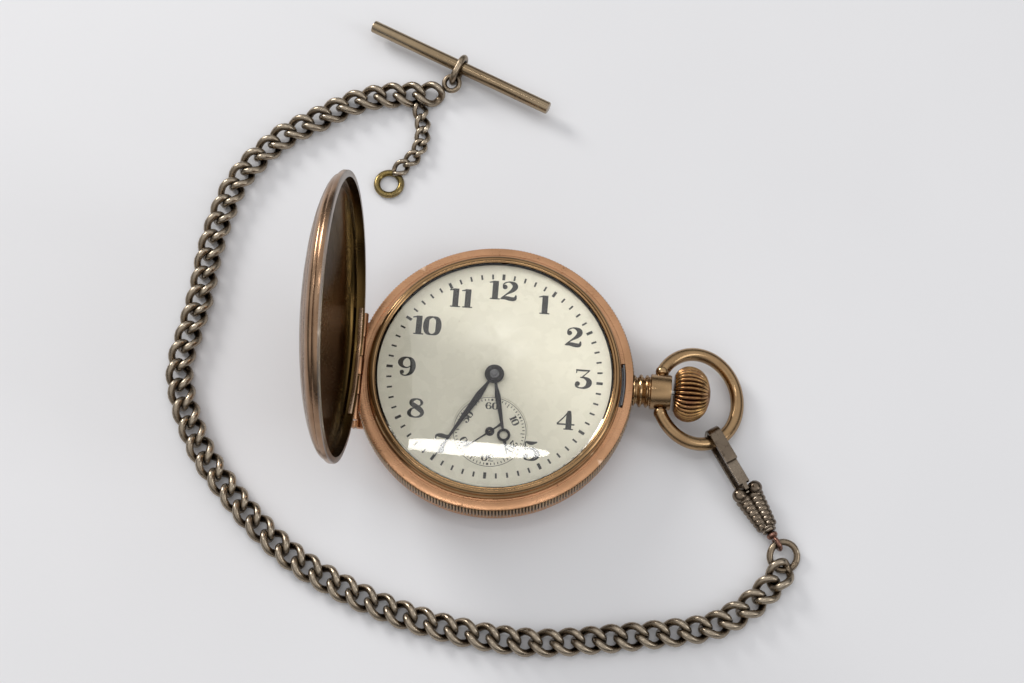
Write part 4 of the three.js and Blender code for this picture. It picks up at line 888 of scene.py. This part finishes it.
hingePlateLook = dict(shadedBezelGoldLook, colour=(0.24, 0.17, 0.055), second=(0.17, 0.12, 0.04),
                      rough=(0.22, 0.36))
hingePlateGold = metal("hingePlateGold", hingePlateLook)
coverFinish = [shadedCoverOutside, coverRim, shadedCoverInside, hingePlateGold]
coverDish, coverExtras = frontCoverShapes(coverLook)
piece("frontCover", [moved(coverDish, coverPlace)], coverFinish, "front_cover", "rose_gold",
      ["front_cover"])
hingeStrap = makeObject("coverHinge", coverExtras, coverFinish, bevel=0.05)
cutAway(hingeStrap, [hingeRoom(knuckleEnds[i] - 0.04, knuckleEnds[i + 1] + 0.04, caseLook["frontHingeZ"])
                     for i in (1, 3)])
hingeStrap.data.transform(Matrix.Scale(mm, 4) @ coverPlace @ Matrix.Scale(1 / mm, 4))
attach(hingeStrap, "front_cover")
piece("coverKnuckles", [moved(knuckle(i, caseLook["frontHingeZ"]), coverPlace) for i in (0, 2, 4)],
      roseGold, "front_cover", "rose_gold")


def backCoverShape():
    return lathe([
        (0, 0.0), (10.0, 0.0), (10.5, 0.02), (14.0, 0.1), (17.5, 0.35), (20.0, 0.85), (21.8, 1.5),
        (23.0, 2.15), (23.8, 2.7), (24.25, 3.0), (24.4, 3.12), (24.8, 3.2), (24.93, 3.35), (24.93, 4.2),
        (24.88, 4.4), (24.7, 4.5), (23.8, 4.5), (23.75, 3.3), (22.5, 2.5), (20.0, 1.42), (16.5, 0.8),
        (12.0, 0.56), (0, 0.5),
    ], 240, closed=False)


backCover = piece("backCover", [backCoverShape()], roseGold, "back_cover", "rose_gold", ["back_cover"])
piece("backKnuckles", [knuckle(i, caseLook["backHingeZ"]) for i in (0, 4)] + [
    box(-24.5, -22.9, -10.1, -5.6, 3.55, 4.3), box(-24.5, -22.9, 5.6, 10.1, 3.55, 4.3)],
      roseGold, "back_cover", "rose_gold", bevel=0.05)
cutAway(backCover, [
    box(-26, -22.2, -1.95, 1.95, 3.45, 5.5),
    hingeRoom(-5.55, 5.55, caseLook["backHingeZ"]),
])


def innerCoverShapes():
    dish = lathe([
        (0, 1.06), (12, 1.07), (17, 1.14), (20, 1.4), (21.6, 2.0), (22.4, 2.85), (22.68, 3.9),
        (22.7, 5.3), (22.3, 5.3), (22.28, 3.95), (22.0, 3.0), (21.2, 2.25), (19.6, 1.75), (16.5, 1.52),
        (12, 1.47), (0, 1.46),
    ], 200, closed=False)
    return [dish, knuckle(2, caseLook["backHingeZ"]), box(-24.4, -22.4, -1.7, 1.7, 3.85, 4.45)]


piece("innerCover", innerCoverShapes(), paleGold, "inner_cover", "pale_gold", ["inner_cover"])

bezelLook = {
    "profile": [
        (21.65, 8.77), (22.82, 8.77), (22.93, 8.88), (22.94, 9.2), (22.84, 9.36), (22.66, 9.4),
        (22.66, 9.52), (22.76, 9.75), (22.78, 10.1), (22.7, 10.45), (22.5, 10.76), (22.22, 10.93),
        (21.98, 10.95), (21.86, 10.86), (21.82, 10.74), (21.7, 10.7), (21.52, 10.72), (21.42, 10.66),
        (21.38, 10.5), (21.37, 10.32), (21.06, 10.18), (21.05, 9.95), (21.3, 9.72), (21.62, 9.68),
    ],
}
piece("bezel", [lathe(bezelLook["profile"], 240)], shadedBezelGold, "bezel", "rose_gold", ["bezel"])
crystalShape = {"radius": 21.3, "edge": 10.62, "rise": 1.5, "thick": 0.65, "curve": 2.2, "inset": 0.985}


def crystalProfile(look):
    steps = 28
    outer, inner = [], []
    for i in range(steps + 1):
        share = i / steps
        outer.append((look["radius"] * share, look["edge"] + look["rise"] * (1 - share ** look["curve"])))
        underside = look["rise"] * (1 - (share * look["inset"]) ** look["curve"])
        inner.append((look["radius"] * share * look["inset"], look["edge"] - look["thick"] + underside))
    return outer + inner[::-1]


piece("crystal", [lathe(crystalProfile(crystalShape), 200, closed=False)], crystalGlass, "bezel",
      "crystal", ["crystal"])
print("case, covers, bezel and crystal made")

# dial
dialLook = {
    "top": 9.4, "radius": 21.35, "subCentre": (0, -10.7), "sunk": 0.15, "lean": -0.8, "lift": 0.35,
    "numeralOrbit": 16.0, "numeralHeight": 3.55, "stretch": 1.42, "weight": 1.5,
    "nudge": {9: (0.15, -0.15), 10: (0.7, 0), 11: (0.4, 0), 12: (0, 0), 1: (-0.45, 0.05),
              2: (-0.35, 0.15), 3: (-0.25, 0.25), 4: (-0.55, 0.3), 5: (-0.35, -0.15), 7: (0, -0.2),
              8: (0.5, 0.15)},
    "trackInner": 18.45, "trackOuter": 19.4, "tick": 0.34, "boldTick": 0.52,
    "subRing": (6.40, 6.50), "subTickOuter": 6.2, "subTickInner": 5.8, "fiveTickInner": 5.45,
    "subTick": 0.15, "tenTick": 0.36, "subOrbit": 4.85, "subHeight": 1.25,
}


def dialShape(look):
    # a flat disc with a round opening for the hands' tubes; the opening for the sunken seconds dial is cut
    # afterwards
    top, base = look["top"], look["top"] - 0.6
    return lathe([(1.62, base), (1.6, top - 0.03), (1.66, top), (look["radius"] - 0.1, top),
                  (look["radius"], top - 0.08), (look["radius"], base)], 200)


dial = piece("dial", [dialShape(dialLook)], enamel, "case", "enamel", ["dial"])
secondsPlace = Matrix.Translation((*dialLook["subCentre"], 0))
opening = lathe([(0, 8), (6.74, 8), (6.74, 9.3), (6.84, 9.5), (0, 9.5)], 120, closed=False)
cutAway(dial, [moved(opening, secondsPlace)])
piece("secondsDial", [moved(lathe([(0.4, 8.8), (0.4, 9.25), (6.9, 9.25), (6.97, 9.2), (6.97, 8.8)], 120),
                            secondsPlace)], enamel, "case", "enamel", ["seconds_dial"])

# each figure is a few brush strokes: points of (x, y, width) in a box one unit high
glyphs = {
    "0": [
        [(0.30, 0.985, 0.05), (0.12, 0.86, 0.15), (0.075, 0.5, 0.20), (0.12, 0.14, 0.15),
         (0.30, 0.015, 0.05), (0.48, 0.14, 0.15), (0.525, 0.5, 0.20), (0.48, 0.86, 0.15),
         (0.30, 0.985, 0.05)],
    ],
    "1": [
        [(0.26, 1.0, 0.20), (0.26, 0.5, 0.20), (0.26, 0.03, 0.20)],
        [(0.08, 0.015, 0.045), (0.44, 0.015, 0.045)],
        [(0.20, 0.95, 0.06), (0.03, 0.90, 0.035)],
    ],
    "2": [
        [(0.16, 0.70, 0.17), (0.15, 0.72, 0.15)],
        [(0.09, 0.74, 0.05), (0.13, 0.89, 0.05), (0.30, 0.985, 0.05), (0.48, 0.88, 0.16),
         (0.525, 0.72, 0.19), (0.44, 0.53, 0.14), (0.26, 0.33, 0.06), (0.10, 0.14, 0.045),
         (0.03, 0.03, 0.04)],
        [(0.05, 0.04, 0.05), (0.20, 0.10, 0.13), (0.40, 0.055, 0.15), (0.54, 0.08, 0.13),
         (0.575, 0.28, 0.035)],
    ],
    "3": [
        [(0.06, 0.97, 0.05), (0.30, 0.955, 0.07), (0.56, 0.97, 0.05)],
        [(0.10, 0.985, 0.04), (0.08, 0.80, 0.035)],
        [(0.54, 0.955, 0.04), (0.30, 0.61, 0.04)],
        [(0.22, 0.58, 0.04), (0.38, 0.57, 0.08), (0.53, 0.43, 0.17), (0.54, 0.24, 0.19),
         (0.44, 0.07, 0.11), (0.27, 0.015, 0.05), (0.12, 0.07, 0.06), (0.06, 0.2, 0.05)],
        [(0.14, 0.235, 0.17), (0.13, 0.25, 0.15)],
    ],
    "4": [
        [(0.44, 0.99, 0.05), (0.24, 0.62, 0.045), (0.02, 0.27, 0.05)],
        [(0.02, 0.265, 0.055), (0.64, 0.265, 0.055)],
        [(0.43, 0.99, 0.12), (0.43, 0.6, 0.19), (0.43, 0.03, 0.20)],
        [(0.26, 0.015, 0.045), (0.60, 0.015, 0.045)],
    ],
    "5": [
        [(0.11, 0.97, 0.05), (0.30, 0.90, 0.13), (0.52, 0.97, 0.045)],
        [(0.11, 0.97, 0.045), (0.10, 0.54, 0.045)],
        [(0.10, 0.54, 0.04), (0.26, 0.61, 0.07), (0.46, 0.53, 0.15), (0.54, 0.33, 0.20),
         (0.46, 0.11, 0.14), (0.28, 0.015, 0.05), (0.12, 0.07, 0.06), (0.07, 0.2, 0.05)],
        [(0.14, 0.22, 0.17), (0.13, 0.24, 0.15)],
    ],
    "6": [
        [(0.50, 0.86, 0.05), (0.42, 0.965, 0.05), (0.28, 0.97, 0.06), (0.13, 0.8, 0.14),
         (0.075, 0.48, 0.19), (0.13, 0.15, 0.14), (0.30, 0.015, 0.05), (0.47, 0.12, 0.14),
         (0.53, 0.30, 0.18), (0.46, 0.49, 0.11), (0.30, 0.565, 0.045), (0.17, 0.48, 0.04),
         (0.12, 0.36, 0.04)],
        [(0.45, 0.81, 0.15), (0.46, 0.83, 0.13)],
    ],
    "7": [
        [(0.04, 0.74, 0.035), (0.07, 0.92, 0.08), (0.22, 0.925, 0.15), (0.40, 0.89, 0.13),
         (0.54, 0.98, 0.04)],
        [(0.55, 0.97, 0.05), (0.42, 0.68, 0.08), (0.31, 0.38, 0.15), (0.28, 0.12, 0.20),
         (0.28, 0.02, 0.20)],
    ],
    "8": [
        [(0.30, 0.985, 0.05), (0.15, 0.89, 0.12), (0.13, 0.74, 0.15), (0.24, 0.62, 0.17),
         (0.42, 0.46, 0.18), (0.53, 0.27, 0.14), (0.47, 0.09, 0.09), (0.30, 0.015, 0.05),
         (0.12, 0.09, 0.10), (0.07, 0.25, 0.13), (0.15, 0.44, 0.07), (0.32, 0.55, 0.045),
         (0.45, 0.66, 0.06), (0.49, 0.79, 0.10), (0.43, 0.93, 0.07), (0.30, 0.985, 0.05)],
    ],
    "9": [
        [(0.10, 0.14, 0.05), (0.18, 0.035, 0.05), (0.32, 0.03, 0.06), (0.47, 0.2, 0.14),
         (0.525, 0.52, 0.19), (0.47, 0.85, 0.14), (0.30, 0.985, 0.05), (0.13, 0.88, 0.14),
         (0.07, 0.70, 0.18), (0.14, 0.51, 0.11), (0.30, 0.435, 0.045), (0.43, 0.52, 0.04),
         (0.48, 0.64, 0.04)],
        [(0.15, 0.19, 0.15), (0.14, 0.17, 0.13)],
    ],
}
advance = {"1": 0.44}  # room from one figure to the next, where it isn't the usual one
usualAdvance = 0.66
printStep = 0.0006  # strokes of one figure lie a hair above each other


def strokeShape(stroke, height, place, z):
    stretch, weight = dialLook["stretch"], dialLook["weight"]
    brush = [Vector((x * stretch, y, max(w * weight, 0.06))) for x, y, w in stroke]
    line = smooth(brush, 6) if len(brush) > 2 else brush
    left, right = [], []
    for i, point in enumerate(line):
        way = line[min(i + 1, len(line) - 1)] - line[max(i - 1, 0)]
        side = Vector((-way.y, way.x)).normalized() if way.xy.length > 1e-6 else Vector((0, 1))
        left.append(point.xy + side * point.z / 2)
        right.append(point.xy - side * point.z / 2)
    points = [place @ Vector((p.x * height, p.y * height, z)) for p in left + right]
    n = len(line)
    faces = [(i, i + 1, n + i + 1, n + i) for i in range(n - 1)]
    return points, faces, [0] * len(faces)


def dotShape(stroke, height, place, z):
    # a two-point stroke that is wider than long is a round blob
    x, y, w = stroke[0][0] * dialLook["stretch"], stroke[0][1], stroke[0][2] * dialLook["weight"]
    steps = 20
    angles = [2 * math.pi * i / steps for i in range(steps)]
    ring = [(x + w / 2 * math.cos(a), y + w / 2 * math.sin(a)) for a in angles]
    points = [place @ Vector((px * height, py * height, z)) for px, py in ring]
    return points, [tuple(range(steps))], [0]


def numeral(text, height, place, z):
    # place puts the numeral's middle where it goes
    stretch = dialLook["stretch"]
    width = (sum(advance.get(c, usualAdvance) for c in text) - 0.06) * stretch
    x = -width / 2
    shapes = []
    level = z
    for c in text:
        spot = place @ Matrix.Translation((x * height, -height / 2, 0))
        for stroke in glyphs[c]:
            reach = abs(stroke[0][0] - stroke[1][0]) + abs(stroke[0][1] - stroke[1][1])
            draw = dotShape if len(stroke) == 2 and reach < stroke[0][2] else strokeShape
            shapes.append(draw(stroke, height, spot, level))
            level += printStep
        x += advance.get(c, usualAdvance) * stretch
    return shapes


def tickShape(r0, r1, width, degrees, centre, z):
    place = Matrix.Translation((*centre, z)) @ rotation(degrees, "Z")
    half = width / 2
    corners = ((r0, -half, 0), (r1, -half, 0), (r1, half, 0), (r0, half, 0))
    return [place @ Vector(corner) for corner in corners], [(0, 1, 2, 3)], [0]


def ringPrint(r0, r1, centre, z):
    segments = 120
    circles = [polar(r, 360 * i / segments) for r in (r0, r1) for i in range(segments)]
    points = [(centre[0] + x, centre[1] + y, z) for x, y in circles]
    faces = [(i, (i + 1) % segments, segments + (i + 1) % segments,
              segments + i) for i in range(segments)]
    return points, faces, [0] * len(faces)


inkLift = 0.012  # the print lies this far above the enamel
printZ = dialLook["top"] + inkLift
secondsZ = dialLook["top"] - dialLook["sunk"] + inkLift
figures = []
for hour in (1, 2, 3, 4, 5, 7, 8, 9, 10, 11, 12):
    x, y = polar(dialLook["numeralOrbit"], 90 + dialLook["lean"] - 30 * hour)
    x, y = x + dialLook["nudge"][hour][0], y + dialLook["nudge"][hour][1] + dialLook["lift"]
    figures += numeral(str(hour), dialLook["numeralHeight"], Matrix.Translation((x, y, 0)), printZ)
piece("dialNumerals", figures, ink, "case", "enamel")
track = []
for minute in range(60):
    bold = minute % 5 == 0
    width = dialLook["boldTick"] if bold else dialLook["tick"]
    inner = dialLook["trackInner"] - (0.12 if bold else 0)
    outer = dialLook["trackOuter"] + (0.08 if bold else 0)
    track.append(tickShape(inner, outer, width, 90 + dialLook["lean"] - 6 * minute, (0, 0), printZ))
piece("minuteTrack", track, ink, "case", "enamel")
subTrack = [ringPrint(*dialLook["subRing"], dialLook["subCentre"], secondsZ)]
for second in range(60):
    ten, five = second % 10 == 0, second % 5 == 0
    width = dialLook["tenTick"] if ten else dialLook["subTick"]
    inner = dialLook["fiveTickInner"] if five and not ten else dialLook["subTickInner"]
    subTrack.append(tickShape(inner, dialLook["subTickOuter"], width, 90 - 6 * second,
                              dialLook["subCentre"], secondsZ))
for second in (10, 20, 30, 40, 50, 60):
    degrees = 90 - 6 * second
    x, y = polar(dialLook["subOrbit"], degrees)
    place = Matrix.Translation((x, y + dialLook["subCentre"][1], 0)) @ rotation(degrees - 90, "Z")
    subTrack += numeral(str(second), dialLook["subHeight"], place, secondsZ)
piece("secondsTrack", subTrack, ink, "case", "enamel")
print("dial printed")

# hands
handLook = {
    "minuteAngle": -120, "hourAngle": 90 - (5 + 35 / 60) * 30, "secondAngle": 218, "thick": 0.15,
    "hourZ": 9.75, "minuteZ": 9.95, "secondZ": 9.36, "moonAt": 11.6, "moonInner": 0.72, "moonOuter": 1.2,
}


def handPlate(outline, z, degrees, centre=(0, 0)):
    side = [(x, w) for x, w in outline] + [(x, -w) for x, w in reversed(outline)]
    place = Matrix.Translation((*centre, 0)) @ rotation(degrees, "Z")
    return moved(plate(side, z, z + handLook["thick"]), place)


def hub(outer, inner, z, centre=(0, 0), rise=0.12):
    t = handLook["thick"]
    middle = (outer + inner) / 2
    return moved(lathe([(inner, z), (outer, z), (outer, z + t), (middle + 0.2, z + t + rise),
                        (inner, z + t + rise * 0.4)],
                       64), Matrix.Translation((*centre, 0)))


hourZ, minuteZ, secondZ = handLook["hourZ"], handLook["minuteZ"], handLook["secondZ"]
moonTop = hourZ + handLook["thick"]
moonRing = lathe([(handLook["moonInner"], hourZ), (handLook["moonOuter"], hourZ),
                  (handLook["moonOuter"], moonTop), (handLook["moonInner"], moonTop)], 48)
moonPlace = rotation(handLook["hourAngle"], "Z") @ Matrix.Translation((handLook["moonAt"], 0, 0))
piece("hourHand", [
    handPlate([(1.3, 0.2), (2.6, 0.3), (4.2, 0.52), (6.2, 0.42), (10.9, 0.2)], hourZ,
              handLook["hourAngle"]),
    handPlate([(12.3, 0.24), (13.0, 0.3), (15.2, 0.06)], hourZ, handLook["hourAngle"]),
    moved(moonRing, moonPlace), hub(1.72, 1.38, hourZ)],
    bluedSteel, "hour_hand", "blued_steel", ["hour_hand"], bevel=0.03)
piece("minuteHand", [
    handPlate([(0.85, 0.22), (2.2, 0.26), (4.8, 0.62), (7.0, 0.54), (12.0, 0.3), (19.2, 0.07)], minuteZ,
              handLook["minuteAngle"]), hub(1.42, 0.84, minuteZ)],
    bluedSteel, "minute_hand", "blued_steel", ["minute_hand"], bevel=0.03)
piece("secondHand", [
    handPlate([(-2.7, 0.26), (-2.4, 0.3), (-1.6, 0.16), (0, 0.15), (5.4, 0.06)], secondZ,
              handLook["secondAngle"], dialLook["subCentre"]),
    hub(0.82, 0.26, secondZ, dialLook["subCentre"], 0.06)],
    bluedSteel, "second_hand", "blued_steel", ["second_hand"], bevel=0.02)
piece("handPin", [lathe([(0, 10.0), (0.84, 10.0), (0.86, 10.12), (0.78, 10.2), (0.5, 10.22), (0.46, 10.3),
                         (0.3, 10.38), (0, 10.4)], 48, closed=False)], darkSteel, "minute_hand",
                         "blued_steel")
print("hands set")

# movement and small parts keep their drawn shapes, with eased edges and their own finishes
finishOf = {
    "steel": steel, "nickel": nickel, "brass": wheelBrass, "blued_steel": bluedSteel,
    "pale_gold": paleGold, "rose_gold": roseGold, "old_silver": oldSilver, "enamel": enamel,
    "crystal": crystalGlass, "t_bar_gilt": barGilt,
}
easedEdges = {"width": 0.03, "segments": 1, "from": 40, "sharpFrom": 30}
slotOf = {entry["node"]: entry["material_slot"] for entry in frame["record"]["subparts"]}
for name, node in frame["nodes"].items():
    node.data.materials.clear()
    node.data.materials.append(finishOf[slotOf[name]])
    if node.hide_render:
        continue
    node.data.shade_smooth()
    node.data.set_sharp_from_angle(angle=math.radians(easedEdges["sharpFrom"]))
    edge = node.modifiers.new("edges", "BEVEL")
    edge.width = easedEdges["width"] * mm
    edge.segments = easedEdges["segments"]
    edge.limit_method = "ANGLE"
    edge.angle_limit = math.radians(easedEdges["from"])
print("movement finished")

# table, lights and surroundings
floorLook = {
    "colour": (0.82, 0.825, 0.85), "second": (0.80, 0.805, 0.83), "cloudMm": 60.0, "grainMm": 0.8,
    "grainDepthMm": 0.01, "halfSize": 1600, "top": -0.02, "bottom": -20,
}


def makeFloor(look):
    mat, nodes, links, shader, where = startMaterial("paleTable")
    cloud = ramp(nodes, links, noise(nodes, links, where, look["cloudMm"], 3.0), [(0.3, 0.0), (0.7, 1.0)])
    links.new(blendColours(nodes, links, cloud, look["colour"], look["second"]),
              shader.inputs["Base Color"])
    grain = noise(nodes, links, where, look["grainMm"], 3.0)
    links.new(ramp(nodes, links, grain, [(0.3, 0.55), (0.7, 0.7)]), shader.inputs["Roughness"])
    bump(nodes, links, shader, grain, look["grainDepthMm"])
    half = look["halfSize"]
    makeObject("table", [box(-half, half, -half, half, look["bottom"], look["top"])], [mat])


makeFloor(floorLook)
lightLook = {
    "key": {"at": (-0.62, 0.52, 0.40), "size": (0.30, 0.30), "power": 3.6, "colour": (1.0, 0.985, 0.96)},
    "window": {"at": (-0.054, 0.050, 0.61), "size": (0.31, 0.032), "power": 0.22,
               "colour": (1.0, 1.0, 1.0)},
    "right": {"at": (0.5, -0.1, 0.30), "size": (0.16, 0.40), "power": 0.4, "colour": (0.97, 0.985, 1.0)},
}


def makeLight(name, look):
    data = bpy.data.lights.new(name, "AREA")
    data.shape = "ELLIPSE"
    data.size, data.size_y = look["size"]
    data.energy = look["power"]
    data.color = look["colour"]
    lamp = bpy.data.objects.new(name, data)
    lamp.location = look["at"]
    away = (Vector(look["at"]) - Vector((0, 0, 0.008))).normalized()  # lights the dial's middle
    if abs(away.x) < 0.6:
        across = (Vector((1, 0, 0)) - away * away.x).normalized()
    else:
        across = up.cross(away).normalized()
    lamp.rotation_euler = Matrix((across, away.cross(across), away)).transposed().to_euler()
    bpy.context.scene.collection.objects.link(lamp)


for lightName, look in lightLook.items():
    makeLight(lightName, look)

skyLook = {"stops": [(0.0, 0.07), (0.35, 0.16), (0.60, 0.72), (0.82, 0.95), (0.94, 0.80), (1.0, 0.52)],
           "tint": (1.0, 0.99, 0.985), "strength": 0.96}


def makeSky(look):
    world = bpy.data.worlds.new("studio")
    bpy.context.scene.world = world
    world.use_nodes = True
    nodes, links = world.node_tree.nodes, world.node_tree.links
    coords = nodes.new("ShaderNodeTexCoord")
    split = nodes.new("ShaderNodeSeparateXYZ")
    links.new(coords.outputs["Generated"], split.inputs[0])
    tone = ramp(nodes, links, split.outputs["Z"], look["stops"])
    links.new(blendColours(nodes, links, 1.0, tone, look["tint"], "MULTIPLY"),
              nodes["Background"].inputs["Color"])
    nodes["Background"].inputs["Strength"].default_value = look["strength"]


makeSky(skyLook)
bpy.context.scene.view_settings.view_transform = "Standard"
print("lights set")
